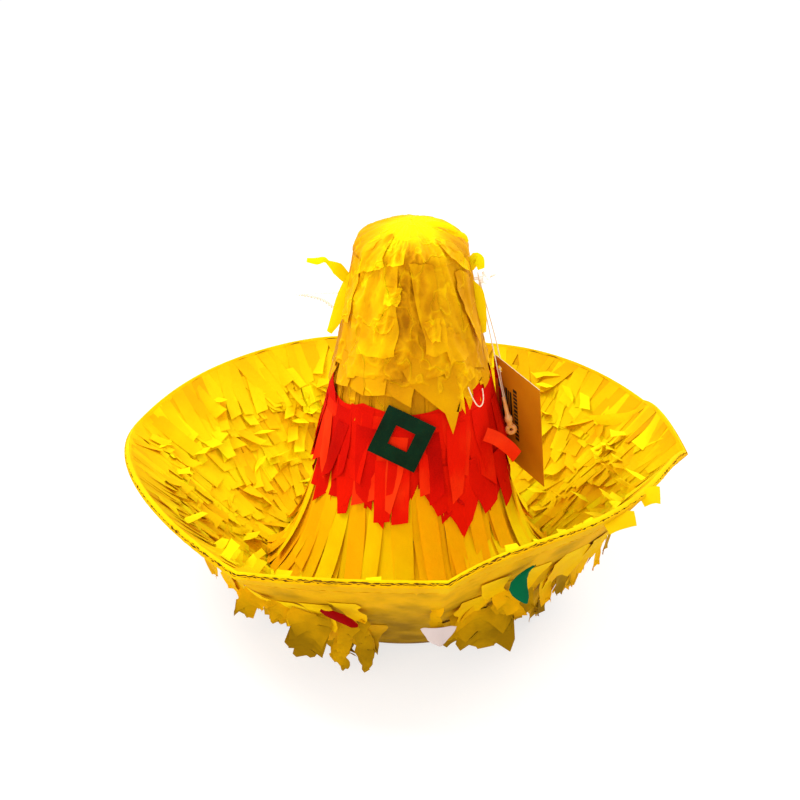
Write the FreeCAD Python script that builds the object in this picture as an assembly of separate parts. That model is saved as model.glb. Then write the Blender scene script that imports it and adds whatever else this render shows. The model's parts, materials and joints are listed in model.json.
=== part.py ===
import FreeCAD
import Part

import math
import os

# Sombrero-shaped pinata of corrugated card, thin card and cut tissue paper.
# Millimetres, +Z up. The origin is on the underside of the base disc, on the crown's axis;
# -Y is the front, where the buckle is.

# Driving sizes
BASE_T = 3.2              # corrugated card of the base disc and its hatch
FOOT_R = 92.0             # radius where the brim leaves the base disc
BRIM_X = -4.7             # the brim sits a little to the left of the crown's axis
BRIM_SLANT = 154.2        # from the foot to the rim, along the board
BRIM_T = 3.2
CROWN_FOOT_R = 84.0       # outside of the crown's thin card at the base disc
CROWN_TAPER = 0.176       # loss of radius per unit of height
CROWN_TOP_Z = 262.0       # where the cone ends and the domed cap begins
CROWN_T = 1.5
CAP_RISE = 18.0
CREST_FLAT = 4.0          # radius of the small flat at the very top
PAPER_T = 0.6             # a glued tier of tissue strips, as it lies
TAPE_T = 0.3
GAP = 0.1                 # air between layers that are glued to each other

HATCH_W, HATCH_D = 96.0, 70.0
HATCH_GAP = 0.6           # cut round the flap
FINGER_R = 9.0            # notch that the flap is pulled open by
FOOT_TAPE_LEG = 12.0
FOOT_TAPE_MARGIN = 4.0    # bare card between that tape and the hatch

CORD_D = 3.0
HOLE_R = 2.4
LEFT_HOLE = FreeCAD.Vector(-43.5, 0, 231.0)
RIGHT_HOLE = FreeCAD.Vector(41.5, 0, 240.0)

TAG_W, TAG_H, TAG_T = 55.0, 90.0, 0.5
TAG_HOLE_R = 2.5
TAG_HOLE = FreeCAD.Vector(64, 5, 170)
TAG_HEADING = -58.0       # direction of the tag's top edge, seen from above
TAG_LEAN = 12.0           # foot of the tag held out by the crown's flank
TAG_ROLL = 10.0
STRING_D = 0.9

# The brim is one board creased into flat-looking panels. Each row is a crease: its angle from +X,
# the board's slope there, how far the panel after it swells above the straight blend to the next
# crease, and how square that swelling is.
CREASES = (
    (-3, 44.5, 5.0, 2),
    (28, 40.0, 4.0, 2),
    (70, 46.0, 1.0, 2),
    (100, 47.0, 7.0, 4),
    (165, 41.5, 6.0, 2),
    (239, 41.5, 1.5, 2),
    (278, 44.5, 6.9, 4),
)
STEPS_PER_PANEL = 8

# Tiers of strips on the brim: where the glued edge and the loose edge lie up the slope, and how far
# the glued edge stands off the board. The loose edges all stand off by one lift.
BRIM_TIERS = ((141, 104, 0.4), (117, 80, 0.4), (93, 58, 0.4), (71, 40, 0.4), (53, 28, 0.4))
UNDER_TIERS = ((112, 76, 1.2), (88, 50, 0.8), (62, 24, 0.8))
LOOSE_LIFT = 5.0
UNDER_LIFT = 13.0

# Tiers of strips round the crown: the glued edge's height and lift, then the loose edge's.
CROWN_TIERS = {
    "crown_fringe": (192, 0.3, 150, 1.0),
    "red_fringe_upper": (166, 1.8, 110, 4.0),
    "red_fringe_lower": (128, 0.5, 84, 4.3),
    "skirt_fringe_upper": (112, 0.3, 55, 6.0),
    "skirt_fringe_lower": (70, 0.3, 18, 16.0),
}

# Loose leaves that hang under the brim: the centre, the heading each faces, width, height and roll.
PATCHES = {
    "green_patch": ((72, -162, 86.5), -72, 20, 27, 0),
    "white_patch": ((18, -168.5, 53), -84, 24, 14, 5),
    "red_patch": ((-47, -171.5, 68.5), -105, 21, 9, -20),
}

# The hanging cord from its knot, round the back of the crown, in at the left hole and out at the right.
CORD_ROUTE = (
    (53, 2.5, 241.3), (62, 13, 240.5), (52, 33, 228), (36, 48, 204), (19, 60, 180), (0, 66, 163),
    (-20, 62, 158), (-36, 53, 168), (-47, 43, 188), (-60, 33, 212), (-78, 20, 221), (-84, 9, 226),
    (-78, 0, 229.5), (-48, 0, 230.5), (-17, 0, 231.2), (15, 0, 235.2), (50, 0, 240.9),
)
KNOT = FreeCAD.Vector(52, 0, 241.1)
KNOT_R = 4.6
# The tag's string: from the lock's bead up through the tag's hole, behind the tag to the hanging
# cord, over it and down in front of the tag into the lock's neck.
LOCK_BEAD = FreeCAD.Vector(72.3, -3.9, 126.2)
LOCK_NECK = FreeCAD.Vector(66.3, -1.3, 150.6)
LOCK_BEAD_R = 4.4
LOCK_NECK_RADII = (2.6, 1.2)
STRING_ROUTE = (
    (73.0, -3.2, 128.5), (62.5, 4.1, 166.6), (65.5, 6.0, 174.0), (46.6, 3.4, 242.4), (46.6, 0, 244.8),
    (46.6, -3.4, 242.4), (65.6, -1.5, 153.6), (66.5, -1.6, 149.4),
)
# A curl of cotton caught under the hem of the wrap.
THREAD_D = 0.8
THREAD_ROUTE = (
    (39.5, -43.5, 176.5), (42.5, -47, 169), (47.5, -46.5, 161.5), (51, -41, 165.5), (49.5, -37.5, 173),
)


def ring(points):
    """Closed solid of revolution about the crown's axis from (radius, height) corners."""
    corners = [FreeCAD.Vector(r, 0, z) for r, z in points]
    face = Part.Face(Part.makePolygon(corners + corners[:1]))
    return face.revolve(FreeCAD.Vector(), FreeCAD.Vector(0, 0, 1), 360)


def crown_radius(z):
    return CROWN_FOOT_R - CROWN_TAPER * (z - BASE_T)


def sleeve(z_top, lift_top, z_low, lift_low, thick=PAPER_T):
    """Flared paper sleeve round the crown, given by its lift off the card at both edges."""
    top, low = crown_radius(z_top) + lift_top, crown_radius(z_low) + lift_low
    return ring([(top, z_top), (low, z_low), (low + thick, z_low), (top + thick, z_top)])


def brim_slope(angle):
    """Slope of the brim board at an angle from +X, in degrees."""
    first = CREASES[0][0]
    angle = (angle - first) % 360 + first
    for row, (start, slope, swell, power) in enumerate(CREASES):
        end, next_slope = CREASES[(row + 1) % len(CREASES)][:2]
        if end <= start:
            end += 360
        if angle <= end:
            t = (angle - start) / (end - start)
            return slope + (next_slope - slope) * t + swell * (1 - abs(2 * t - 1) ** power)


def brim_point(angle, up, lift):
    """Point a distance up the brim's slope and a lift off its inner face."""
    slope = math.radians(brim_slope(angle))
    radius = FOOT_R + up * math.cos(slope) - lift * math.sin(slope)
    height = BASE_T + up * math.sin(slope) + lift * math.cos(slope)
    turn = math.radians(angle)
    return FreeCAD.Vector(BRIM_X + radius * math.cos(turn), radius * math.sin(turn), height)


def panel_edge(start, end, up, lift):
    steps = [i / STEPS_PER_PANEL for i in range(STEPS_PER_PANEL + 1)]
    points = [brim_point(start + (end - start) * t, up, lift) for t in steps]
    curve = Part.BSplineCurve()
    curve.interpolate(Points=points, Parameters=steps)
    return curve.toShape()


def brim_band(section, spans=None):
    """Band on the brim whose section has the given (up, lift) corners: right round, or over spans of angle."""
    starts = [crease[0] for crease in CREASES]
    whole = list(zip(starts, starts[1:] + [starts[0] + 360]))
    faces = []
    for start, end in spans or whole:
        edges = [panel_edge(start, end, up, lift) for up, lift in section]
        for low, high in zip(edges, edges[1:] + edges[:1]):
            faces.append(Part.makeRuledSurface(low, high))
    if spans:
        for angle in (spans[0][0], spans[-1][1]):
            corners = [brim_point(angle, up, lift) for up, lift in section]
            faces.append(Part.Face(Part.makePolygon(corners + corners[:1])))
    shell = Part.makeShell(faces)
    shell.sewShape()
    solid = Part.Solid(shell)
    if solid.Volume < 0:
        solid.reverse()
    return solid


def brim_tier(glued, loose, base, lift, side=1):
    """Tier of strips lying on the brim: side +1 on its inner face, -1 on its underside."""
    section = [(glued, base), (glued, base + side * PAPER_T), (loose, lift + side * PAPER_T), (loose, lift)]
    return brim_band(section)


def frame_at(centre, across, upward):
    """Placement whose X runs across, Y runs upward and Z out of the face."""
    across = FreeCAD.Vector(across).normalize()
    out = across.cross(upward).normalize()
    upward = out.cross(across)
    rows = FreeCAD.Matrix(across.x, upward.x, out.x, centre.x,
                          across.y, upward.y, out.y, centre.y,
                          across.z, upward.z, out.z, centre.z, 0, 0, 0, 1)
    return FreeCAD.Placement(rows)


def placed(shape, placement):
    shape.Placement = placement.multiply(shape.Placement)
    return shape


def tube(route, diameter, label):
    """Round cord along straight runs joined by tangent arcs, with its shortest radius printed."""
    points = [FreeCAD.Vector(*p) for p in route]
    edges, radii, at = [], [], points[0]
    for before, corner, after in zip(points, points[1:], points[2:]):
        back, ahead = before - corner, after - corner
        turn = math.pi - back.getAngle(ahead)
        cut = 0.45 * min(back.Length, ahead.Length)
        radii.append(cut / math.tan(turn / 2))
        back.normalize()
        ahead.normalize()
        start, end = corner + back * cut, corner + ahead * cut
        bisector = (back + ahead).normalize()
        middle = corner + bisector * (radii[-1] / math.cos(turn / 2) - radii[-1])
        edges.append(Part.LineSegment(at, start).toShape())
        edges.append(Part.Arc(start, middle, end).toShape())
        at = end
    edges.append(Part.LineSegment(at, points[-1]).toShape())
    path = Part.Wire(edges)
    section = Part.Wire(Part.Circle(points[0], points[1] - points[0], diameter / 2).toShape())
    solid = path.makePipeShell([section], True, False)
    expected = math.pi * diameter ** 2 / 4 * path.Length
    print("%s length %.1f mm, least radius %.1f mm, volume ratio %.4f, radii %s" % (
        label, path.Length, min(radii), solid.Volume / expected, [round(r, 1) for r in radii]))
    return solid


def cord_bore(radius):
    """Straight bore through both walls of the crown, along the cord's inner run."""
    along = RIGHT_HOLE - LEFT_HOLE
    start = LEFT_HOLE - along * 0.2
    return Part.makeCylinder(radius, along.Length * 1.4, start, along)


def base_disc():
    disc = Part.makeCylinder(FOOT_R, BASE_T, FreeCAD.Vector(BRIM_X, 0, 0))
    hatch = Part.makeBox(HATCH_W, HATCH_D, BASE_T, FreeCAD.Vector(-HATCH_W / 2, -HATCH_D / 2, 0))
    return disc.cut(hatch)


def fill_flap():
    width, depth = HATCH_W - 2 * HATCH_GAP, HATCH_D - 2 * HATCH_GAP
    flap = Part.makeBox(width, depth, BASE_T, FreeCAD.Vector(-width / 2, -depth / 2, 0))
    finger = Part.makeCylinder(FINGER_R, BASE_T, FreeCAD.Vector(0, -depth / 2, 0))
    return flap.cut(finger)


def crown_shell():
    foot, top = crown_radius(BASE_T), crown_radius(CROWN_TOP_Z)
    shell = ring([(foot, BASE_T), (foot - CROWN_T, BASE_T), (top - CROWN_T, CROWN_TOP_Z), (top, CROWN_TOP_Z)])
    return shell.cut(cord_bore(HOLE_R))


def dome_arc(radius, base_z, rise):
    """Quarter-ellipse from the dome's rim to the edge of the small flat at its crest."""
    centre, rim, crest = (FreeCAD.Vector(x, 0, base_z + z) for x, z in ((0, 0), (radius, 0), (0, rise)))
    flat_starts = math.acos(CREST_FLAT / radius)
    return Part.Arc(Part.Ellipse(rim, crest, centre), 0, flat_starts).toShape()


def domed_skin(radius, rise, thick, foot=()):
    """Domed skin on the crown's top; foot lists (radius, height) points of its inner face below the dome."""
    base_z = CROWN_TOP_Z + GAP
    inner = [FreeCAD.Vector(r, 0, z) for r, z in foot] + [FreeCAD.Vector(radius, 0, base_z)]
    outer = [point + FreeCAD.Vector(thick, 0, 0) for point in inner]
    inner_arc, outer_arc = dome_arc(radius, base_z, rise), dome_arc(radius + thick, base_z, rise + thick)
    inner_end, outer_end = inner_arc.Vertexes[-1].Point, outer_arc.Vertexes[-1].Point
    across = [outer_end, FreeCAD.Vector(0, 0, outer_end.z), FreeCAD.Vector(0, 0, inner_end.z), inner_end]
    edges = [Part.makeLine(p, q) for p, q in zip(across, across[1:])]
    edges += [Part.makeLine(p, q) for side in (inner, outer) for p, q in zip(side, side[1:])]
    edges += [Part.makeLine(inner[0], outer[0]), inner_arc, outer_arc]
    profile = Part.Wire(Part.__sortEdges__(edges))
    return Part.Face(profile).revolve(FreeCAD.Vector(), FreeCAD.Vector(0, 0, 1), 360)


def crown_cap():
    return domed_skin(crown_radius(CROWN_TOP_Z) - 2, CAP_RISE - 2, 2)


def crown_wrap():
    """Crumpled tissue over the cap and the upper crown, down to its ragged hem."""
    hem_z, hem_lift, lift, thick = 180.0, 1.4, 0.5, 0.9
    hem = [(crown_radius(hem_z) + hem_lift, hem_z)]
    skin = domed_skin(crown_radius(CROWN_TOP_Z) + lift, CAP_RISE + 0.4, thick, hem)
    return skin.cut(cord_bore(HOLE_R))


def crown_seam_tape():
    """Paper tape down the inside of the crown's glued seam, at the back."""
    low_z, high_z = 18.0, 255.0
    low, high = crown_radius(low_z) - CROWN_T - GAP, crown_radius(high_z) - CROWN_T - GAP
    profile = [FreeCAD.Vector(r, 0, z) for r, z in (
        (low, low_z), (high, high_z), (high - TAPE_T, high_z), (low - TAPE_T, low_z))]
    face = Part.Face(Part.makePolygon(profile + profile[:1]))
    face.rotate(FreeCAD.Vector(), FreeCAD.Vector(0, 0, 1), 78)
    return face.revolve(FreeCAD.Vector(), FreeCAD.Vector(0, 0, 1), 24)


def crown_foot_tape():
    """Tape that joins the crown's foot to the base disc, folded up the inside of the card."""
    leg, margin = FOOT_TAPE_LEG, FOOT_TAPE_MARGIN
    low, high = crown_radius(BASE_T) - CROWN_T - GAP, crown_radius(BASE_T + leg) - CROWN_T - GAP
    floor_z = BASE_T + GAP
    tape = ring([(low, floor_z), (low - leg, floor_z), (low - leg, floor_z + TAPE_T),
                 (low - 2 * TAPE_T, floor_z + TAPE_T), (high - TAPE_T, floor_z + leg), (high, floor_z + leg)])
    width, depth = HATCH_W + 2 * margin, HATCH_D + 2 * margin
    return tape.cut(Part.makeBox(width, depth, leg * 2, FreeCAD.Vector(-width / 2, -depth / 2, 0)))


def brim_board():
    return brim_band([(0, 0), (BRIM_SLANT, 0), (BRIM_SLANT, -BRIM_T), (0, -BRIM_T)])


def rim_binding():
    """Strip of paper folded over the cut edge of the brim board."""
    deep = BRIM_SLANT - 12
    near, far = GAP, GAP + PAPER_T
    back_near, back_far = -BRIM_T - GAP, -BRIM_T - GAP - PAPER_T
    top, over = BRIM_SLANT + GAP, BRIM_SLANT + GAP + PAPER_T
    return brim_band([(deep, near), (deep, far), (over, far), (over, back_far),
                      (deep, back_far), (deep, back_near), (top, back_near), (top, near)])


def brim_seam_tape():
    """Tape on the underside along the board's radial joint, which ends in the pointed corner."""
    seam, half_angle, low, high, lift = CREASES[0][0], 3.5, 6.0, 100.0, -BRIM_T - GAP
    section = [(low, lift), (high, lift), (high, lift - TAPE_T), (low, lift - TAPE_T)]
    return brim_band(section, [(seam - half_angle, seam), (seam, seam + half_angle)])


def under_wrap():
    """Smooth paper turned down over the underside below the rim."""
    low, high, lift = 106.0, BRIM_SLANT - 14, -BRIM_T - GAP
    return brim_band([(high, lift), (high, lift - PAPER_T), (low, lift - PAPER_T), (low, lift)])


def loose_patch(centre, heading, width, height, roll):
    """Leaf of paper that hangs from the strips on the underside."""
    turn = math.radians(heading)
    across = FreeCAD.Vector(-math.sin(turn), math.cos(turn), 0)
    leaf = Part.makeBox(width, height, PAPER_T, FreeCAD.Vector(-width / 2, -height / 2, 0))
    leaf.rotate(FreeCAD.Vector(), FreeCAD.Vector(0, 0, 1), roll)
    return placed(leaf, frame_at(FreeCAD.Vector(centre), across, FreeCAD.Vector(0, 0, 1)))


def buckle():
    """Square card ring glued flat to the front of the red band, a little turned."""
    side, hole, thick, roll = 36.0, 14.5, 0.9, -24.0
    angle, height, lift = math.radians(-95.9), 146.4, 4.6
    radius = crown_radius(height) + lift
    centre = FreeCAD.Vector(radius * math.cos(angle), radius * math.sin(angle), height)
    plate = Part.makeBox(side, side, thick, FreeCAD.Vector(-side / 2, -side / 2, 0))
    plate = plate.cut(Part.makeBox(hole, hole, thick, FreeCAD.Vector(-hole / 2, -hole / 2, 0)))
    plate.rotate(FreeCAD.Vector(), FreeCAD.Vector(0, 0, 1), roll)
    across = FreeCAD.Vector(-math.sin(angle), math.cos(angle), 0)
    upward = FreeCAD.Vector(-CROWN_TAPER * math.cos(angle), -CROWN_TAPER * math.sin(angle), 1)
    return placed(plate, frame_at(centre, across, upward))


def tag_frame():
    """Frame of the hanging tag: X along its top edge, Y up, Z out of the printed face."""
    heading, lean = math.radians(TAG_HEADING), math.radians(TAG_LEAN)
    across = FreeCAD.Vector(math.cos(heading), math.sin(heading), 0)
    away = FreeCAD.Vector(-math.sin(heading), math.cos(heading), 0)
    upward = FreeCAD.Vector(0, 0, math.cos(lean)) - away * math.sin(lean)
    return frame_at(TAG_HOLE, across, upward)


def hang_tag():
    left, top, corner = 7.5, 9.5, 3.0
    outline = [(-left + corner, top), (-left, top - corner), (-left, top - TAG_H),
               (TAG_W - left, top - TAG_H), (TAG_W - left, top)]
    corners = [FreeCAD.Vector(x, y, -TAG_T / 2) for x, y in outline]
    card = Part.Face(Part.makePolygon(corners + corners[:1])).extrude(FreeCAD.Vector(0, 0, TAG_T))
    card = card.cut(Part.makeCylinder(TAG_HOLE_R, 4, FreeCAD.Vector(0, 0, -2)))
    card.rotate(FreeCAD.Vector(), FreeCAD.Vector(0, 0, 1), -TAG_ROLL)
    return placed(card, tag_frame())


def tag_lock():
    """Moulded string lock: a slim bullet pressed into a bead."""
    axis = LOCK_NECK - LOCK_BEAD
    bead = Part.makeSphere(LOCK_BEAD_R, LOCK_BEAD)
    neck = Part.makeCone(*LOCK_NECK_RADII, axis.Length, LOCK_BEAD, axis)
    return bead.fuse(neck).removeSplitter()


def build():
    parts = {
        "base_disc": base_disc(),
        "fill_flap": fill_flap(),
        "crown_shell": crown_shell(),
        "crown_cap": crown_cap(),
        "crown_seam_tape": crown_seam_tape(),
        "crown_foot_tape": crown_foot_tape(),
        "brim_board": brim_board(),
        "brim_seam_tape": brim_seam_tape(),
        "rim_binding": rim_binding(),
        "under_wrap": under_wrap(),
        "crown_wrap": crown_wrap(),
        "buckle": buckle(),
        "hanging_cord": tube(CORD_ROUTE, CORD_D, "hanging_cord"),
        "cord_knot": Part.makeSphere(KNOT_R, KNOT),
        "loose_thread": tube(THREAD_ROUTE, THREAD_D, "loose_thread"),
        "tag_string": tube(STRING_ROUTE, STRING_D, "tag_string"),
        "tag_lock": tag_lock(),
        "hang_tag": hang_tag(),
    }
    for name, edges in CROWN_TIERS.items():
        parts[name] = sleeve(*edges)
    for name, place in PATCHES.items():
        parts[name] = loose_patch(*place)
    for number, (glued, loose, lift) in enumerate(BRIM_TIERS, 1):
        parts["brim_fringe_%d" % number] = brim_tier(glued, loose, lift, LOOSE_LIFT)
    for number, (glued, loose, lift) in enumerate(UNDER_TIERS, 1):
        parts["under_fringe_%d" % number] = brim_tier(glued, loose, -BRIM_T - lift, -BRIM_T - UNDER_LIFT, -1)
    return parts


def main():
    os.makedirs("parts", exist_ok=True)
    for name, shape in build().items():
        if not shape.isValid() or len(shape.Solids) != 1:
            print("CHECK", name, shape.isValid(), len(shape.Solids))
        shape.exportStep("parts/%s.step" % name)


main()
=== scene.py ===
import json
import random
from math import atan, atan2, cos, degrees, exp, hypot, pi, radians, sin, tau

import bpy
import numpy as np
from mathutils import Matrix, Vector, noise
from mathutils.bvhtree import BVHTree


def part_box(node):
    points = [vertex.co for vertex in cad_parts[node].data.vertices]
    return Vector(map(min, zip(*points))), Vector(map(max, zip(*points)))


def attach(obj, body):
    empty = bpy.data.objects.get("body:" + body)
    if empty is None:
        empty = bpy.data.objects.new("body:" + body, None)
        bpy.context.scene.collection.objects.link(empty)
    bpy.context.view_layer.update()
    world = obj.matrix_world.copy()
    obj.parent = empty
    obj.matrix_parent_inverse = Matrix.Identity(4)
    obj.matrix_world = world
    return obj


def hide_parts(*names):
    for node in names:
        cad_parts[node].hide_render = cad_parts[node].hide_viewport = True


# A sombrero-shaped pinata: tissue paper strips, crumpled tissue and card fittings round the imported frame.
# Metres, +Z up, -Y is the front.

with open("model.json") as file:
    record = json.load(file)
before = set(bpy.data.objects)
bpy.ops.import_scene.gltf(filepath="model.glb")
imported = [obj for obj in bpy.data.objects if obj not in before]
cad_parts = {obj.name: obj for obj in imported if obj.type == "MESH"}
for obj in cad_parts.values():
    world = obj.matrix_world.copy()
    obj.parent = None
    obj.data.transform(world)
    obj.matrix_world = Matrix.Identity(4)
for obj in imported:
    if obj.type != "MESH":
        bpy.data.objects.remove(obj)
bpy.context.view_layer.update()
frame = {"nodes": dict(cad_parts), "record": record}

MM = 0.001
TISSUE = 0.14 * MM          # thickness of a strip of tissue, as modelled
BODY = "pinata"             # the body that the card and its paper covering ride on


# -------- surfaces read from the frame

disc_low, disc_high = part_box("base_disc")
BRIM_X = (disc_low.x + disc_high.x) / 2
FOOT_R = (disc_high.x - disc_low.x) / 2
FOOT_Z = disc_high.z
shell_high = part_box("crown_shell")[1]
CROWN_FOOT_R = shell_high.x
CROWN_TOP_Z = shell_high.z
CROWN_TOP_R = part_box("crown_cap")[1].x
CREST_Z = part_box("crown_wrap")[1].z
TAPER = atan((CROWN_FOOT_R - CROWN_TOP_R) / (CROWN_TOP_Z - FOOT_Z))
BOARD_T = 3.2 * MM          # thickness of the corrugated board
PROBE_RISE = 70 * MM        # height over the brim's foot at which its slope is read
RIM_DEGREE = 60             # heading at which the height of its rim is read


def board_tree():
    """The brim's board, ready for casting rays at it."""
    mesh = frame["nodes"]["brim_board"].data
    return BVHTree.FromPolygons([v.co for v in mesh.vertices], [p.vertices for p in mesh.polygons])


def measure_brim():
    """Slope of the board's inner face at every degree, and its length from foot to rim."""
    tree = board_tree()

    def radius_at(degree, height):
        """Distance from the brim's middle out to the board, or None over its rim."""
        angle, middle = radians(degree), Vector((BRIM_X, 0, height))
        hit = tree.ray_cast(middle, Vector((cos(angle), sin(angle), 0)))[0]
        return None if hit is None else (hit - middle).length

    low = FOOT_Z + PROBE_RISE
    high = low + 100 * MM
    slopes = [atan2(PROBE_RISE, radius_at(degree, low) - FOOT_R) for degree in range(360)]
    for _ in range(14):
        middle = (low + high) / 2
        low, high = (middle, high) if radius_at(RIM_DEGREE, middle) else (low, middle)
    return np.array(slopes + slopes[:1]), (low - FOOT_Z) / sin(slopes[RIM_DEGREE])


SLOPES, SLANT = measure_brim()


def brim_slope(angle):
    """Slope of the board at an angle round it."""
    return np.interp(np.degrees(angle) % 360, np.arange(361), SLOPES)


def brim(angle, up, lift):
    """Point a way up the brim's inner face and a lift off it; a lift under -BOARD_T is outside."""
    slope = brim_slope(angle)
    radius = FOOT_R + up * np.cos(slope) - lift * np.sin(slope)
    height = FOOT_Z + up * np.sin(slope) + lift * np.cos(slope)
    return np.array([BRIM_X + radius * np.cos(angle), radius * np.sin(angle), height])


def brim_radius(angle, up):
    """Radius of the brim's inner face a way up it."""
    return FOOT_R + up * cos(brim_slope(angle))


def off_brim(point, least):
    """The point, pushed inward until it is at least that far off the brim's inner face."""
    x, y = point[0] - BRIM_X, point[1]
    angle, radius = atan2(y, x), hypot(x, y)
    slope = brim_slope(angle)
    lift = (point[2] - FOOT_Z) * cos(slope) - (radius - FOOT_R) * sin(slope)
    if lift >= least:
        return point
    push = least - lift
    inward = push * sin(slope)
    return point + np.array([-inward * cos(angle), -inward * sin(angle), push * cos(slope)])


def crown_radius(z):
    """Radius of the card crown at a height."""
    return CROWN_FOOT_R + (CROWN_TOP_R - CROWN_FOOT_R) * (z - FOOT_Z) / (CROWN_TOP_Z - FOOT_Z)


def crown(angle, z, lift):
    """Point on the crown's flank at a height, lifted off the card."""
    radius = crown_radius(z) + lift * cos(TAPER)
    return np.array([radius * np.cos(angle), radius * np.sin(angle), z + lift * sin(TAPER)])


def around(columns):
    """Angles spread evenly once round."""
    return [tau * i / columns for i in range(columns)]


def wander(x, y, z):
    """Smooth noise from about -1 to 1."""
    return noise.noise(Vector((x, y, z)))


def ring_noise(angle, turns, height):
    """The same noise round a circle, so that it meets itself after one turn; more turns make it finer."""
    return wander(turns * cos(angle), turns * sin(angle), height)


# -------- meshes

SHARP = radians(38)         # faces that meet at more than this keep a sharp edge


def add_object(name, data):
    """Object in the scene for some data."""
    item = bpy.data.objects.new(name, data)
    bpy.context.scene.collection.objects.link(item)
    return item


def add_piece(name, data, nodes=(), body=BODY):
    """Visual piece that rides on a body and takes the place of some nodes of the frame."""
    piece = add_object(name, data)
    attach(piece, body)
    if nodes:
        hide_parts(*nodes)
    return piece


def smooth_mesh(name, verts, faces, material):
    """Smoothly shaded mesh with one material."""
    mesh = bpy.data.meshes.new(name)
    mesh.from_pydata(verts, [], faces)
    mesh.polygons.foreach_set("use_smooth", [True] * len(mesh.polygons))
    mesh.materials.append(material)
    return mesh


def fade(top, foot, rows):
    """Tones of a sheet's rows, from its top to its foot."""
    return np.linspace(top, foot, rows)[:, None]


class Paper:
    """Collects thin sheets of paper into one mesh. Every vertex has a tone from 0, dark, to 1, bright, which
    holds random variation and also painted light and shade.
    """

    def __init__(self):
        self.verts, self.faces, self.tones = [], [], []

    def sheet(self, grid, tone=0.5, thick=TISSUE, closed=False):
        """One closed thin sheet through a grid of points; closed joins its last column to its first."""
        grid = np.asarray(grid, dtype=float)
        rows, cols = grid.shape[:2]
        if closed:
            across = np.roll(grid, -1, 1) - np.roll(grid, 1, 1)
        else:
            across = np.gradient(grid, axis=1)
        normal = np.cross(across, np.gradient(grid, axis=0))
        size = np.linalg.norm(normal, axis=2, keepdims=True)
        normal = normal / np.maximum(size, 1e-12)
        base = len(self.verts)
        for side in (0.5, -0.5):
            self.verts.extend((grid + normal * thick * side).reshape(-1, 3).tolist())
            self.tones.extend(np.broadcast_to(np.clip(tone, 0, 1), (rows, cols)).reshape(-1).tolist())

        def at(row, col, under=0):
            return base + (under * rows + row) * cols + col % cols

        spans = cols if closed else cols - 1
        for r in range(rows - 1):
            for c in range(spans):
                ring = [(r, c), (r, c + 1), (r + 1, c + 1), (r + 1, c)]
                self.faces.append([at(*p) for p in ring])
                self.faces.append([at(*p, 1) for p in reversed(ring)])
        border = [((0, c + 1), (0, c)) for c in range(spans)]
        border += [((rows - 1, c), (rows - 1, c + 1)) for c in range(spans)]
        if not closed:
            border += [((r, 0), (r + 1, 0)) for r in range(rows - 1)]
            border += [((r + 1, cols - 1), (r, cols - 1)) for r in range(rows - 1)]
        for p, q in border:
            self.faces.append([at(*p), at(*p, 1), at(*q, 1), at(*q)])

    def piece(self, name, material, slot, *nodes, body=BODY):
        """All the sheets as one visual piece."""
        mesh = smooth_mesh(name, self.verts, self.faces, material)
        mesh.validate()
        mesh.attributes.new("tone", "FLOAT", "POINT").data.foreach_set("value", self.tones)
        mesh.set_sharp_from_angle(angle=SHARP)
        return add_piece(name, mesh, nodes, body)


STRIP_ACROSS = (-1, -0.33, 0.33, 1)     # columns of a strip, in half widths
FOLD_FROM, TAPER_FROM = 0.6, 0.45       # shares of its length at which a fold and the taper begin


def ribbon(surface, reach, angle, along, lift, width, length, skew=0.0, rise=(0.08, 0.3), roll=0.0,
           fold=0.0, cup=0.0, slant=0.0, tip=1.0, rows=7, least=0.0):
    """Grid of a strip glued at its top that runs down a surface and lifts off towards its loose end.

    surface(angle, along, lift) gives points and reach(angle, along) the radius there. rise is the angle
    between strip and surface at the top and at the end, fold an added bend near the end, roll a twist,
    cup a lengthwise crease, slant the slope of the cut end and tip the end's share of the width.
    """
    step = length / (rows - 1)
    side, height, grid = 0.0, lift, []
    for row in range(rows):
        t = row / (rows - 1)
        lean = rise[0] + (rise[1] - rise[0]) * t * t + (fold if t > FOLD_FROM else 0.0)
        half = width / 2 * (1 + (tip - 1) * max(0.0, (t - TAPER_FROM) / (1 - TAPER_FROM)))
        turn = roll * t * t
        points = []
        for c in STRIP_ACROSS:
            off = side + c * half * cos(turn)
            up = height + c * half * sin(turn) + cup * (1 - abs(c)) * t
            low = along + (c * slant * width if row == rows - 1 else 0.0)
            points.append(surface(angle + off / reach(angle, along), low, max(up, least)))
        grid.append(points)
        side += sin(skew) * cos(lean) * step
        along -= cos(skew) * cos(lean) * step
        height = max(height + sin(lean) * step, least)
    return grid


def flat_ribbon(points, widths, face, hollow=0.0):
    """Grid of a free strip through points, as wide as widths say, its width at right angles to face."""
    path, face = [np.array(p) for p in points], np.array(face)
    grid = []
    for i, p in enumerate(path):
        across = np.cross(path[min(i + 1, len(path) - 1)] - path[max(i - 1, 0)], face)
        across = across / np.linalg.norm(across)
        grid.append([p + across * widths[i] * c + face * hollow * (1 - c * c * 4)
                     for c in (-0.5, -0.17, 0.17, 0.5)])
    return grid


def smooth_path(points, steps):
    """Catmull-Rom curve through a few points, with this many steps from each to the next."""
    pts = [np.array(p, dtype=float) for p in points]
    pts = [2 * pts[0] - pts[1]] + pts + [2 * pts[-1] - pts[-2]]
    out = []
    for i in range(1, len(pts) - 2):
        for s in range(steps):
            t = s / steps
            a, b, c, d = pts[i - 1:i + 3]
            out.append(0.5 * (2 * b + (c - a) * t + (2 * a - 5 * b + 4 * c - d) * t ** 2
                              + (3 * b - a - 3 * c + d) * t ** 3))
    return out + [pts[-2]]


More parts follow.
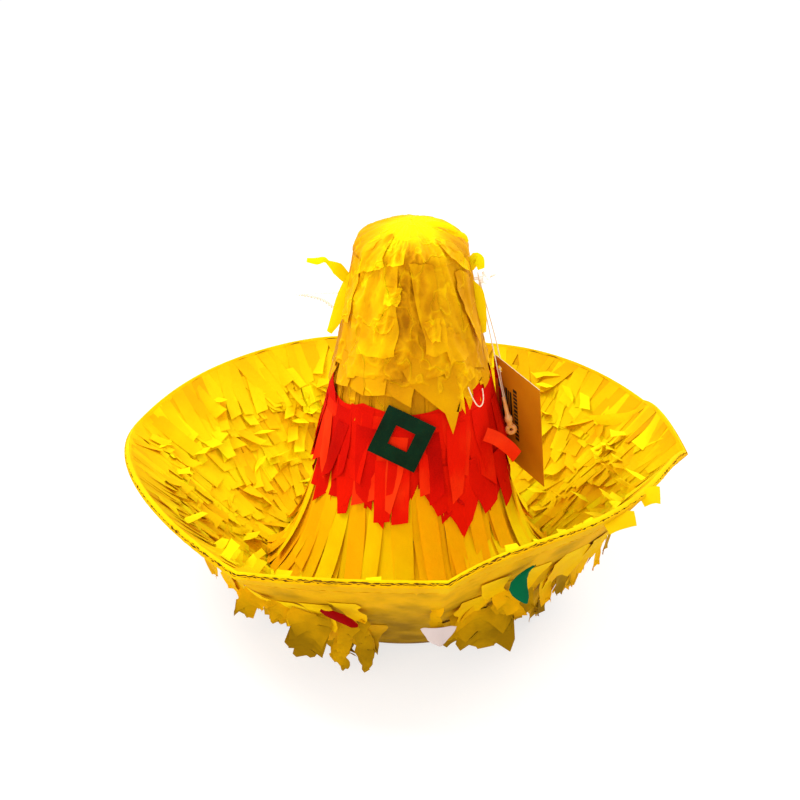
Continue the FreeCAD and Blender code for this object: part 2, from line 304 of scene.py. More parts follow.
def free_strip(paper, points, widths, face, tone, steps=4, ragged=0.0):
    """Adds a free strip; its points and widths are in millimetres, and ragged makes its edges uneven."""
    path = smooth_path(points, steps)
    wide = np.interp(np.linspace(0, 1, len(path)), np.linspace(0, 1, len(widths)), widths) * MM
    for i, p in enumerate(path):
        wide[i] *= 1 + ragged * wander(p[0] * 0.3, p[2] * 0.3, p[1])
        path[i] = p + np.array([9 * ragged * wander(p[2] * 0.2, p[0], 3), 0, 0])
    paper.sheet(flat_ribbon([p * MM for p in path], wide, face, 0.4 * MM), tone)


# -------- materials

class Look:
    """A material being put together. Its helpers add nodes and return their output sockets."""

    def __init__(self, name):
        self.material = bpy.data.materials.new(name)
        self.material.use_nodes = True
        self.nodes = self.material.node_tree.nodes
        self.shader = self.nodes["Principled BSDF"]

    def join(self, value, socket):
        """Links an output to a socket, or gives the socket a plain value."""
        if isinstance(value, bpy.types.NodeSocket):
            self.material.node_tree.links.new(value, socket)
        else:
            socket.default_value = value

    def add(self, kind, inputs=None, **settings):
        """New node; inputs are outputs or plain values, by the name or number of a socket."""
        node = self.nodes.new("ShaderNode" + kind)
        for key, value in settings.items():
            setattr(node, key, value)
        for key, value in (inputs or {}).items():
            self.join(value, node.inputs[key])
        return node

    def math(self, operation, *values, clamp=False):
        """Result of one operation on outputs or numbers."""
        return self.add("Math", dict(enumerate(values)), operation=operation, use_clamp=clamp).outputs[0]

    def noise(self, scale, detail, stretch=(1, 1, 1)):
        """Noise over the piece's own coordinates."""
        place = self.add("TexCoord").outputs["Object"]
        place = self.add("Mapping", {"Vector": place, "Scale": stretch}).outputs["Vector"]
        return self.add("TexNoise", {"Vector": place, "Scale": scale, "Detail": detail}).outputs["Fac"]

    def ramp(self, fac, stops):
        """Colour ramp; stops are places and colours."""
        node = self.add("ValToRGB", {"Fac": fac})
        elements = node.color_ramp.elements
        while len(elements) < len(stops):
            elements.new(0.5)
        for element, (place, colour) in zip(elements, stops):
            element.position, element.color = place, (*colour, 1)
        return node.outputs["Color"]

    def bumps(self, *layers):
        """Bumps one over another; layers are height, strength and distance."""
        inputs = {}
        for height, strength, distance in layers:
            inputs |= {"Height": height, "Strength": strength, "Distance": distance}
            inputs["Normal"] = self.add("Bump", inputs).outputs["Normal"]
        self.join(inputs["Normal"], self.shader.inputs["Normal"])
        return inputs["Normal"]

    def finish(self, inputs):
        """The material, with the main shader's sockets fed by name."""
        for key, value in inputs.items():
            self.join(value, self.shader.inputs[key])
        return self.material


FINE, GLOSS = 0.3 * MM, 0.12      # depth of a fine bump, and how glossy card is
CREASE_WIDTH = 0.022              # how much of the wandering noise makes a crease, and so its width
CREASE_DEPTH = 30 * MM            # of the full noise; a crease takes up only that small part of it
CREASE_HIGHLIGHT = 9.0                 # painted highlight: how much brighter the paper is painted along a crease


def crease_lines(look):
    """Thin wandering ridges, as in tissue that has been crumpled and smoothed out."""
    away = look.math("ABSOLUTE", look.math("SUBTRACT", look.noise(44, 2, (1, 1, 0.7)), 0.5))
    return look.math("SUBTRACT", CREASE_WIDTH, away, clamp=True)


def tissue_material(name, stops, through, rough=0.75, crinkle=0.5, gloss=0.06, creased=0.0):
    """Tissue paper: toned by the strip's own tone with cloudy variation, and some light shining through;
    creased adds bumped creases with a painted highlight along them.
    """
    look = Look(name)
    cloud = look.math("MULTIPLY_ADD", look.noise(38, 4), 0.5, -0.25)
    tone = look.math("ADD", look.add("Attribute", attribute_name="tone").outputs["Fac"], cloud)
    layers = [(look.noise(150, 5), crinkle, 1.2 * MM), (look.noise(1900, 2), 0.25, 0.2 * MM)]
    if creased:
        lines = crease_lines(look)
        layers.append((lines, creased, CREASE_DEPTH))
        # Painted highlight along the creases.
        tone = look.math("MULTIPLY_ADD", lines, CREASE_HIGHLIGHT, tone)
    colour = look.ramp(tone, stops)
    glow = look.add("BsdfTranslucent", {"Color": colour, "Normal": look.bumps(*layers)}).outputs["BSDF"]
    mix = look.add("MixShader", {"Fac": through, 1: look.shader.outputs["BSDF"], 2: glow})
    look.join(mix.outputs["Shader"], look.nodes["Material Output"].inputs["Surface"])
    return look.finish({"Base Color": colour, "Roughness": rough, "Specular IOR Level": gloss})


def card_material(name, dark, light, scale=60, rough=0.8, fibre=0.35):
    """Card with cloudy colour and fine fibres."""
    look = Look(name)
    look.bumps((look.noise(1200, 3, (1, 1, 0.25)), fibre, FINE))
    return look.finish({"Base Color": look.ramp(look.noise(scale, 5), [(0.3, dark), (0.7, light)]),
                        "Roughness": rough, "Specular IOR Level": GLOSS})


def cord_material(name, colour, shade, painted_glow=0.0):
    """Cotton lint; the last argument makes it glow a little of its own, painted light that keeps a white cord
    from greying in shade.
    """
    look = Look(name)
    lint = look.noise(900, 4)
    look.bumps((lint, 0.2, FINE))
    return look.finish({"Base Color": look.ramp(lint, [(0.3, shade), (0.65, colour)]), "Roughness": 0.85,
                        "Sheen Weight": 0.3, "Emission Strength": painted_glow})


def tag_material():
    """Kraft card whose top cut edge, told apart by the way it faces, is painted pale as a painted highlight
    from the light above.
    """
    look = Look("kraft_card")
    normal = look.add("TexCoord").outputs["Normal"]
    facing = look.add("VectorMath", {0: normal, 1: TAG_UP}, operation="DOT_PRODUCT").outputs["Value"]
    kraft = look.ramp(look.noise(45, 5), [(0.25, (0.53, 0.19, 0.003)), (0.75, (0.64, 0.26, 0.005))])
    # Painted highlight: the upward-facing cut edge is painted pale.
    pale = look.add("Mix", {0: look.math("GREATER_THAN", facing, 0.7), 6: kraft, 7: (0.86, 0.68, 0.42, 1)},
                    data_type="RGBA")
    look.bumps((look.noise(700, 4, (1, 1, 0.3)), 0.2, FINE))
    return look.finish({"Base Color": pale.outputs[2], "Roughness": 0.6, "Specular IOR Level": GLOSS})


def lock_material():
    """Smooth tan plastic that lets a little light in."""
    look = Look("lock_plastic")
    cloud = look.noise(220, 3)
    look.bumps((cloud, 0.1, FINE))
    colour = look.ramp(cloud, [(0.3, (0.88, 0.40, 0.10)), (0.7, (0.98, 0.60, 0.24))])
    return look.finish({"Base Color": colour, "Roughness": 0.3, "Subsurface Weight": 0.2,
                        "Subsurface Radius": (4 * MM, 2 * MM, 1 * MM)})


# Colours of each paper at some tones from 0 to 1.
YELLOW_STOPS = [(0.0, (0.37, 0.19, 0.0)), (0.25, (0.92, 0.50, 0.0)), (0.55, (1.0, 0.70, 0.0)),
                (1.0, (1.0, 0.95, 0.002))]
AMBER_STOPS = [(0.0, (1.0, 0.42, 0.0)), (0.4, (1.0, 0.56, 0.0)), (0.7, (1.0, 0.71, 0.0)),
               (1.0, (1.0, 0.94, 0.002))]
WRAP_STOPS = [(0.0, (0.42, 0.15, 0.0)), (0.3, (0.72, 0.31, 0.0)), (0.6, (0.97, 0.53, 0.0)),
              (0.85, (1.0, 0.78, 0.0)), (1.0, (1.0, 0.97, 0.003))]
RED_STOPS = [(0.0, (0.32, 0.0, 0.0)), (0.4, (0.70, 0.003, 0.0)), (0.75, (0.88, 0.009, 0.0)),
             (1.0, (1.0, 0.05, 0.005))]

yellow = tissue_material("yellow_tissue", YELLOW_STOPS, 0.30)
amber = tissue_material("amber_tissue", AMBER_STOPS, 0.30)
wrap_paper = tissue_material("wrap_tissue", WRAP_STOPS, 0.15, 0.6, 0.7, 0.05, 0.9)
red = tissue_material("red_tissue", RED_STOPS, 0.22)
green_leaf = tissue_material("green_tissue", [(0, (0.0, 0.08, 0.03)), (1, (0.0, 0.17, 0.058))], 0.2)
white_leaf = tissue_material("white_tissue", [(0, (0.60, 0.46, 0.42)), (1, (0.90, 0.80, 0.78))], 0.2)
# Corrugated card's brown, darkened as painted shade where its cut edge shows in the rim's slit and at the
# edge of the base.
board = card_material("corrugated_card", (0.16, 0.075, 0.004), (0.30, 0.15, 0.01))
thin_card = card_material("thin_card", (0.36, 0.24, 0.10), (0.48, 0.34, 0.16))
tape = card_material("paper_tape", (0.58, 0.44, 0.24), (0.70, 0.56, 0.34), rough=0.6)
buckle_card = card_material("green_card", (0.0, 0.011, 0.004), (0.0, 0.024, 0.009), 90, 0.75, 0.5)
# Painted light: the white cord glows a little of its own, so it stays white in shade.
cotton = cord_material("white_cord", (1.0, 1.0, 1.0), (0.95, 0.95, 0.95), 0.22)
thread = cord_material("cotton_string", (0.93, 0.80, 0.62), (0.78, 0.60, 0.40))


# -------- camera and cords

AIM = Vector((0, 0, 0.110))
VIEW_DROP = radians(25.47)      # how far the camera looks down
DISTANCE = 1.30
LENS, SENSOR = 80.3, 36         # in millimetres
SHIFT = (-0.0138, 0.0588)


def add_camera():
    """The photo's view of the object."""
    data = bpy.data.cameras.new("camera")
    data.lens, data.sensor_width = LENS, SENSOR
    data.shift_x, data.shift_y = SHIFT
    camera = add_object("camera", data)
    camera.location = AIM + DISTANCE * Vector((0, -cos(VIEW_DROP), sin(VIEW_DROP)))
    camera.rotation_euler = (pi / 2 - VIEW_DROP, 0, 0)
    bpy.context.scene.camera = camera


def round_curve(name, points, diameter, material, closed=False, steps=16, ring=4):
    """Curve with a round section; it starts and ends at its outer points, or joins up when closed."""
    curve = bpy.data.curves.new(name, "CURVE")
    curve.dimensions = "3D"
    spline = curve.splines.new("NURBS")
    spline.points.add(len(points) - 1)
    for point, place in zip(spline.points, points):
        point.co = (*place, 1)
    spline.use_cyclic_u, spline.use_endpoint_u = closed, not closed
    spline.order_u = 4 if closed else 3
    spline.resolution_u = steps
    curve.bevel_depth = diameter / 2
    curve.bevel_resolution = ring
    curve.materials.append(material)
    return curve


def route_curve(name, route, diameter, material):
    """Curve along a route in millimetres."""
    return round_curve(name, [[x * MM for x in place] for place in route], diameter, material)


# Routes in millimetres: the cord, the tag's string and the loose thread.
CORD_ROUTE = (
    (53, 2.5, 241.3), (62, 13, 240.5), (52, 33, 228), (36, 48, 204), (19, 60, 180), (0, 66, 163),
    (-20, 62, 158), (-36, 53, 168), (-47, 43, 188), (-60, 33, 212), (-78, 20, 221), (-84, 9, 226),
    (-78, 0, 229.5), (-48, 0, 230.5), (-17, 0, 231.2), (15, 0, 235.2), (50, 0, 240.9),
)
STRING_ROUTE = (
    (73.0, -3.2, 128.5), (62.5, 4.1, 166.6), (65.5, 6.0, 174.0), (46.6, 3.4, 242.4), (46.6, 0, 244.8),
    (46.6, -3.4, 242.4), (65.6, -1.5, 153.6), (66.5, -1.6, 149.4),
)
THREAD_ROUTE = (
    (39.5, -43.5, 176.5), (42.5, -47, 169), (47.5, -46.5, 161.5), (51, -41, 165.5), (49.5, -37.5, 173),
)
CORD_D, STRING_D, THREAD_D = 3.0 * MM, 0.9 * MM, 0.8 * MM


def sampled(curve):
    """Points that a route's own spline passes through."""
    bare = curve.copy()
    bare.bevel_depth = 0
    holder = bpy.data.objects.new("bare", bare)
    mesh = bpy.data.meshes.new_from_object(holder)
    points = [v.co.copy() for v in mesh.vertices]
    bpy.data.objects.remove(holder)
    return points


STRAND_SHARE, STRAND_STEP = 2 / 4.1, 0.28     # width of a strand and length of a step, in cord diameters


def twisted(name, path, diameter, strands, lay, material):
    """Strands twisted round a path, as one mesh; lay is the length of one turn."""
    verts, faces = [], []
    size, ring = diameter * STRAND_SHARE / 2, 8
    lengths = [0.0]
    for p, q in zip(path, path[1:]):
        lengths.append(lengths[-1] + (q - p).length)
    count = int(lengths[-1] / (diameter * STRAND_STEP))
    places = [lengths[-1] * i / count for i in range(count + 1)]
    normal, k, frames = Vector((0, 0, 1)), 0, []
    for s in places:
        while k < len(path) - 2 and lengths[k + 1] < s:
            k += 1
        t = (s - lengths[k]) / max(lengths[k + 1] - lengths[k], 1e-9)
        ahead = (path[k + 1] - path[k]).normalized()
        normal = (normal - ahead * normal.dot(ahead)).normalized()
        frames.append((path[k].lerp(path[k + 1], t), ahead, normal.copy()))
    for strand in range(strands):
        first = len(verts)
        for s, (centre, ahead, normal) in zip(places, frames):
            turn = tau * (s / lay + strand / strands)
            side = ahead.cross(normal)
            out = normal * cos(turn) + side * sin(turn)
            hub = centre + out * (diameter / 2 - size)
            for a in around(ring):
                verts.append(hub + (out * cos(a) + ahead.cross(out) * sin(a)) * size)
        for r in range(count):
            for i in range(ring):
                a, b = first + r * ring + i, first + r * ring + (i + 1) % ring
                faces.append((a, b, b + ring, a + ring))
        faces.append([first + i for i in reversed(range(ring))])
        faces.append([first + count * ring + i for i in range(ring)])
    return smooth_mesh(name, verts, faces, material)


def add_cords():
    """The hanging cord with its knot, the tag's string with its lock, and the loose thread."""
    path = sampled(route_curve("hanging_route", CORD_ROUTE, CORD_D, cotton))
    mesh = twisted("hanging_cord_twist", path, CORD_D, 3, 9 * MM, cotton)
    hanging = add_piece("hanging_cord_twist", mesh, ["hanging_cord"], "hanging_loop")
    knot = add_piece("cord_knot_turns", knot_curve(), ["cord_knot"], "hanging_loop")
    string = add_piece("tag_string_line", route_curve("tag_string_line", STRING_ROUTE, STRING_D, thread),
                       ["tag_string"], "tag_string")
    lock = tag_lock_piece()
    curl = add_piece("loose_thread_curl", route_curve("loose_thread_curl", THREAD_ROUTE, THREAD_D, thread),
                     ["loose_thread"])


def knot_curve():
    """Turns of an overhand knot pulled tight."""
    low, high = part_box("cord_knot")
    centre, radius = (low + high) / 2, (high.x - low.x) / 2
    points = []
    for a in around(24):
        flat = (2 + cos(3 * a)) / 3 * (radius - 0.7 * MM)
        points.append(centre + Vector((sin(3 * a) * 1.5 * MM, flat * cos(2 * a), flat * sin(2 * a))))
    return round_curve("cord_knot_turns", points, CORD_D, cotton, closed=True, steps=12, ring=3)


# -------- swing tag

TAG_JOINT = next(j for j in frame["record"]["behaviour"]["joints"] if j["name"] == "tag_turn")
TAG_HOLE, TAG_FACE = Vector(TAG_JOINT["pos_m"]), Vector(TAG_JOINT["axis"])
TAG_HEADING, TAG_ROLL = radians(-58), radians(10)
TAG_T = 0.5 * MM
TAG_LEFT, TAG_TOP = 7.5, 9.5     # from the hole to the tag's left and top edges, in millimetres


def tag_axes():
    """Right and up along the tag's own edges."""
    level = Vector((cos(TAG_HEADING), sin(TAG_HEADING), 0))
    steep = TAG_FACE.cross(level)
    right = level * cos(TAG_ROLL) - steep * sin(TAG_ROLL)
    return right, TAG_FACE.cross(right)


TAG_RIGHT, TAG_UP = tag_axes()


def tag_patch(left, top, width, height, lift=0.05):
    """Flat printed patch, placed from the tag's top left corner in millimetres."""
    base = TAG_HOLE + TAG_FACE * (TAG_T / 2 + lift * MM)
    return [[np.array(base + (TAG_RIGHT * (x - TAG_LEFT) + TAG_UP * (TAG_TOP - y)) * MM)
             for x in (left, left + width)] for y in (top, top + height)]


# Printed marks in millimetres from the tag's top left corner: left, width, top, height.
TAG_BARS = ((4.2, 2.3, 20, 7), (4.6, 1.6, 50, 12), (7.4, 2.2, 22, 41), (10.6, 1.1, 23, 40),
            (12.6, 2.4, 23, 39), (15.8, 1.2, 24, 38), (17.8, 2.2, 24, 38))
TAG_PATCHES = ((0.5, 4.2, 4, 17), (4.2, 2.8, 28, 20))
BLOCK_LEFT, BLOCK_WIDE, BLOCK_GAP = 22.2, 4.6, 1.1
BLOCKS_FROM, BLOCKS_TO = 19.0, 66


def tag_print():
    """Plain printed bars, plain patches and a column of short blocks on the tag's face."""
    rng = random.Random("tag print")
    ink, patch = Paper(), Paper()
    for left, wide, top, tall in TAG_BARS:
        ink.sheet(tag_patch(left, top, wide, tall), 0.5, 0.04 * MM)
    y = BLOCKS_FROM
    while y < BLOCKS_TO:
        tall = rng.uniform(1.8, 3.2)
        ink.sheet(tag_patch(BLOCK_LEFT, y, BLOCK_WIDE, tall), 0.5, 0.04 * MM)
        y += tall + BLOCK_GAP
    for left, wide, top, tall in TAG_PATCHES:
        patch.sheet(tag_patch(left, top, wide, tall, 0.03), 0.35, 0.03 * MM)
    black = card_material("tag_ink", (0.012, 0.014, 0.006), (0.03, 0.028, 0.012), 300, 0.5)
    ink.piece("tag_bars", black, "kraft_card", body="tag")
    patch.piece("tag_patch", red, "kraft_card", body="tag")


def lathe(verts, faces, centre, axis, side, profile, ring=20, loop=False):
    """Adds a turned shape; a profile lists radius and height in millimetres, and loop makes it a ring."""
    across, base, rows = axis.cross(side), len(verts), len(profile)
    for radius, height in profile:
        for a in around(ring):
            verts.append(centre + (axis * height + (side * cos(a) + across * sin(a)) * radius) * MM)
    for r in range(rows if loop else rows - 1):
        up = ((r + 1) % rows - r) * ring
        for i in range(ring):
            a, b = base + r * ring + i, base + r * ring + (i + 1) % ring
            faces.append((a, b, b + up, a + up))
    if not loop:
        faces.append([base + i for i in reversed(range(ring))])
        faces.append([base + (rows - 1) * ring + i for i in range(ring)])


# The lock, in millimetres: where its bead and the top of its neck are, and the profiles of both.
LOCK_BEAD, LOCK_NECK = (72.3, -3.9, 126.2), (66.3, -1.3, 150.6)
BEAD_PROFILE = ((1.1, -1.3), (1.6, -2.0), (3.0, -2.1), (4.0, -1.3), (4.4, 0), (4.0, 1.3), (3.0, 2.1),
                (1.6, 2.0), (1.1, 1.3))
NECK_PROFILE = ((2.2, 3.0), (2.3, 4.6), (2.0, 5.6), (2.7, 6.4), (3.0, 8.0), (2.8, 9.8), (2.0, 10.8),
                (1.6, 13), (1.5, 18), (1.3, 22), (1.25, 25), (0.7, 25.5))


def tag_lock_piece():
    """Moulded lock: a flat bead with a hole through it, a collar and a slim neck that grips the string."""
    bead, neck, front = Vector(LOCK_BEAD) * MM, Vector(LOCK_NECK) * MM, Vector((0, -1, 0))
    up = (neck - bead).normalized()
    out = (front - up * up.dot(front)).normalized()
    side = up.cross(out)
    verts, faces = [], []
    lathe(verts, faces, bead, out, side, BEAD_PROFILE, loop=True)
    lathe(verts, faces, bead, up, side, NECK_PROFILE)
    mesh = smooth_mesh("tag_lock_moulding", verts, faces, lock_material())
    return add_piece("tag_lock_moulding", mesh, ["tag_lock"], "tag_string")


# -------- brim

STANDING, FOLDED = 0.13, 0.07     # shares of the brim's strips that stand up and that are folded
SCRAPS = 20                       # loose ends over each tier


def blob(angle, centre, half):
    """One in the middle of a span of angles in degrees, falling smoothly to nothing at its ends."""
    off = abs((degrees(angle) - centre + 180) % 360 - 180) / half
    return max(0.0, 1 - off * off) ** 2


def clip_tone(value):
    """The value, kept from 0 to 1."""
    return min(1.0, max(0.0, value))


def brim_row(paper, rng, glued, low):
    """One row of strips on the inside of the brim, matted down, with a few that stand up or lie askew."""
    angle = rng.uniform(0, 0.1)
    end = angle + tau
    while angle < end:
        width = rng.uniform(8.0, 12.5) * MM
        kind = rng.random()
        long = min(rng.uniform(30, 48) * MM, glued - low)
        skew, rise, roll, fold = rng.gauss(0, 0.16), rng.uniform(0.03, 0.16), rng.uniform(-0.25, 0.25), 0.0
        tone = rng.gauss(0.52, 0.11)
        if kind < STANDING:
            skew, rise, roll = rng.uniform(-0.7, 0.7), rng.uniform(0.25, 0.7), rng.uniform(-0.9, 0.9)
        elif kind < STANDING + FOLDED:
            # Folded strips are toned brighter: painted light on their turned-up ends.
            fold, tone = rng.choice((0.9, 1.3)), tone + 0.12
        top = min(glued + rng.uniform(-3, 3) * MM, SLANT - 1.2 * MM)
        grid = ribbon(brim, brim_radius, angle, top, rng.uniform(0.5, 1.1) * MM, width, long, skew,
                      (rng.uniform(0.02, 0.05), rise), roll, fold, rng.uniform(-0.5, 0.5) * MM,
                      rng.uniform(-0.2, 0.2), rng.uniform(0.85, 1.05), 7, 0.5 * MM)
        # Painted shade: each strip darker at its glued top, under the row above, and lighter towards its
        # loose end.
        paper.sheet(grid, clip_tone(tone) + fade(-0.10, 0.10 + 0.15 * rng.random(), 7))
        angle += width * rng.uniform(0.55, 0.85) / brim_radius(angle, glued)


def brim_scraps(paper, rng, low, high):
    """Short loose ends lying any way up over the rows."""
    for _ in range(SCRAPS):
        angle, up = rng.uniform(0, tau), rng.uniform(low, high)
        grid = ribbon(brim, brim_radius, angle, up, rng.uniform(2.2, 3.6) * MM, rng.uniform(8, 13) * MM,
                      rng.uniform(11, 19) * MM, rng.uniform(-1.4, 1.4),
                      (rng.uniform(-0.1, 0.2), rng.uniform(0, 0.5)), rng.uniform(-0.5, 0.5), 0,
                      rng.uniform(-0.8, 0.8) * MM, rng.uniform(-0.2, 0.2), rng.uniform(0.7, 1.1), 5, 1.2 * MM)
        # Scraps are toned brighter than the rows: painted light on ends that stand up off them.
        paper.sheet(grid, rng.uniform(0.6, 0.95))


def brim_tier_piece(number, rows, low):
    """One tier on the inside of the brim: an uncut heading and the rows of strips glued to it."""
    name = "brim_strips_%d" % number
    rng, paper = random.Random(name), Paper()
    top = SLANT - 0.6 * MM if number == 1 else rows[0]
    heading = []
    for row in range(4):
        up = top - (top - low) * 0.8 * row / 3
        heading.append([brim(a, up, (0.30 + 0.2 * wander(a * 9, up * 90, number)) * MM)
                        for a in around(240)])
    # The heading is toned dark: painted shade where it shows between the strips.
    paper.sheet(heading, 0.22, closed=True)
    for glued in rows:
        brim_row(paper, rng, glued, low)
    brim_scraps(paper, rng, low + 16 * MM, top - 8 * MM)
    paper.piece(name, yellow, "yellow_tissue", "brim_fringe_%d" % number)


def rim_wave(angle, seed, size, turns=60):
    """Uneven cutting and gluing along the rim, up to a size."""
    return size * ring_noise(angle, turns, seed)


def rim_piece():
    """Paper folded over the rim from both sides; its lips leave a wavering dark slit on the cut edge."""
    paper, angles = Paper(), around(900)

    def leg(place):
        """Grid of one leg: four rows round its lip and four down the board."""
        return [[brim(a, *place(a, row)) for a in angles] for row in range(8)]

    def shut(a):
        """Where the two lips close over the cut edge."""
        return max(blob(a, 190, 62), 0.9 * blob(a, 20, 50), blob(a, 328, 45))

    def inner(a, row):
        """Way up and lift of the leg on the brim's inside."""
        bare = 1.5 * MM + 10 * MM * blob(a, 182, 36) + 2 * MM * blob(a, 330, 80)
        deep = bare + rim_wave(a, 3, 2.0 * MM, 14)
        lip = (0.9 + 1.4 * shut(a)) * MM + rim_wave(a, 5, 0.9 * MM) + rim_wave(a, 6, 0.7 * MM, 150)
        if row > 3:
            share = (row - 4) / 3
            lift = (0.9 - 0.4 * share) * MM + rim_wave(a, row, 0.3 * MM, 20)
            return SLANT + 0.5 * MM - deep * share, lift
        share = row / 3
        crest = 0.6 + 0.9 * sin(pi * (0.25 + 0.6 * share))
        return SLANT + crest * MM, 0.9 * MM - (lip + 0.9 * MM) * (1 - share)

    def outer(a, row):
        """Way up and lift of the leg on its underside."""
        deep = 15 * MM + rim_wave(a, 13, 3 * MM)
        lip = 0.65 * MM + rim_wave(a, 15, 0.8 * MM) + rim_wave(a, 16, 0.7 * MM, 150)
        if row > 3:
            share = (row - 4) / 3
            lift = -BOARD_T - 0.8 * MM + rim_wave(a, 20 + row, 0.5 * MM)
            return SLANT + 0.4 * MM - deep * share, lift
        share = row / 3
        crest = 0.5 + 0.8 * sin(pi * (0.25 + 0.6 * share))
        return SLANT + crest * MM, -BOARD_T - 0.8 * MM + (lip + 0.6 * MM) * (1 - share)

    paper.sheet(leg(inner), 0.58, 0.3 * MM, closed=True)
    # The leg under the brim is toned darker than the inner one: painted shade on the underside.
    paper.sheet(leg(outer), 0.31, 0.3 * MM, closed=True)
    # A strip toned dark along the middle of the cut edge: painted shade in the slit between the lips.
    thin = []
    for side in (-0.35, 0.35):
        thin.append([brim(a, SLANT + 0.9 * MM + rim_wave(a, 31, 0.5 * MM, 90),
                          -BOARD_T / 2 + (side - 0.35) * MM + rim_wave(a, 33, 1.5 * MM, 80)) for a in angles])
    paper.sheet(thin, 0.24, 0.2 * MM, closed=True)
    paper.piece("rim_binding_paper", yellow, "yellow_tissue", "rim_binding")


# -------- underside of the brim

def under(angle, up, lift):
    """Underside of the brim: lift counts outward from the board, and nothing goes below the table."""
    point = brim(angle, up, -BOARD_T - lift)
    point[2] = max(point[2], 0.35 * MM)
    return point


def under_wrap_piece():
    """Smooth paper over the underside, with long shallow creases along it."""
    paper, count, rows = Paper(), 26, []
    top, low = SLANT - 11 * MM, 12 * MM
    for row in range(count):
        up = top + (low - top) * row / (count - 1)
        line, free = [], min(1.0, row / 5)
        for a in around(420):
            crease = 0.4 - abs(ring_noise(a, 3.2, up * 95))
            fine = abs(ring_noise(a, 11, up * 160))
            line.append(under(a, up, (1.0 + free * (0.3 + 1.3 * crease + 0.6 * fine)) * MM))
        rows.append(line)
    # Painted shade: the underside paper is toned dark, darker towards the foot.
    paper.sheet(rows, fade(0.24, 0.0, count), closed=True)
    paper.piece("under_wrap_paper", yellow, "wrap_tissue", "under_wrap")


def ragged_leaf(paper, rng, angle, up, width, length, droop, tone, skew=0.0, tip=0.6, lift=1.6):
    """Leaf with uneven sides, glued at its top and drooping off the underside."""
    rows, cols, grid = 9, 7, []
    side, height, place, step = 0.0, lift * MM, up, length / (rows - 1)
    left, right = rng.uniform(0, 9), rng.uniform(0, 9)
    for row in range(rows):
        t = row / (rows - 1)
        half = width / 2 * (1 + (tip - 1) * t ** 1.5) * (0.82 if t > 0.8 else 1)
        lean = 0.06 + droop * t
        line = []
        for col in range(cols):
            c = 2 * col / (cols - 1) - 1
            rag = 0.28 * width * wander(left if c < 0 else right, t * 3.5, angle * 20) * abs(c)
            curl = 0.10 * width * c * c * t + 0.5 * MM * sin(5 * t + 9 * angle)
            end = 0.16 * length * wander(c * 1.6, left, angle * 11) if row == rows - 1 else 0
            turn = (side + c * half + rag) / brim_radius(angle, place)
            line.append(under(angle + turn, place - end, height + curl))
        grid.append(line)
        side += sin(skew) * step
        place -= cos(lean) * cos(skew) * step
        height += sin(lean) * step
    paper.sheet(grid, fade(tone + 0.05, tone - 0.08, rows))


# Placed leaves of each tier, in degrees and millimetres: heading, way up the slope, width, length, droop,
# tone (dark on the lower tiers, as painted shade under the brim), skew, tip.
UNDER_LEAVES = {
    1: ((-122, 126, 10, 17, 0.1, 0.55, 0.5, 0.3), (-103, 118, 19, 30, 0.2, 0.46, 0.35, 0.2),
        (-70, 122, 22, 26, 0.2, 0.44, 0.1, 0.5), (-58, 118, 20, 30, 0.3, 0.40, -0.2, 0.4),
        (-133, 118, 20, 30, 0.4, 0.36, -0.2, 0.6), (-146, 116, 18, 30, 0.45, 0.36, 0.2, 0.7),
        (-47, 120, 30, 34, 0.12, 0.44, 0.05, 0.85), (-38, 122, 26, 30, 0.12, 0.46, 0.0, 0.9)),
    2: ((-112, 92, 24, 44, 0.35, 0.30, 0.1, 0.9), (-72, 96, 26, 34, 0.25, 0.34, -0.1, 0.3),
        (-60, 90, 26, 38, 0.5, 0.26, 0.1, 0.9), (-140, 96, 22, 36, 0.5, 0.30, 0.1, 0.9)),
    3: ((-105, 66, 12, 46, 0.30, 0.20, 0.2, 0.3), (-98, 62, 14, 44, 0.30, 0.18, -0.1, 0.25),
        (-74, 58, 26, 32, 0.4, 0.12, 0.1, 0.9)),
}
# Big leaves that hang off the lowest tier, some nearly to the table: path, widths along it, tone,
# kept dark as painted shade under the brim.
DROOPING = (
    (((-66, -158, 64), (-66, -160, 52), (-70, -160, 42), (-73, -160, 32)), (26, 31, 24, 31, 22, 8), 0.02),
    (((-104, -149, 74), (-106, -151, 69), (-110, -152, 65), (-114, -152, 61)), (15, 20, 15, 7), 0.16),
    (((-88, -150, 74), (-87, -152, 66), (-88, -152, 59), (-90, -152, 53)), (18, 14, 12, 4), 0.12),
    (((46, -138, 55), (48, -140, 47), (50, -141, 37), (51, -141, 27)), (40, 46, 36, 44, 28, 12), 0.02),
    (((62, -149, 76), (62, -151, 71), (61, -152, 66), (59, -152, 60)), (20, 14, 16, 4), 0.20),
    (((-41, -150, 57), (-45, -152, 42), (-48, -152, 32), (-52, -152, 24)), (15, 10, 13, 4), 0.16),
    (((-47, -152, 34), (-46, -153, 28), (-45, -153, 22), (-44, -153, 17)), (6, 10, 7, 3), 0.10),
    (((-35, -150, 51), (-32, -152, 40), (-30, -152, 28), (-29.5, -152, 15)), (13, 9, 12, 4), 0.06),
    (((17, -167, 74.5), (17.5, -168.6, 67), (18.2, -168.1, 58), (18.5, -167.6, 50)), (8, 7, 7, 4), 0.16),
)


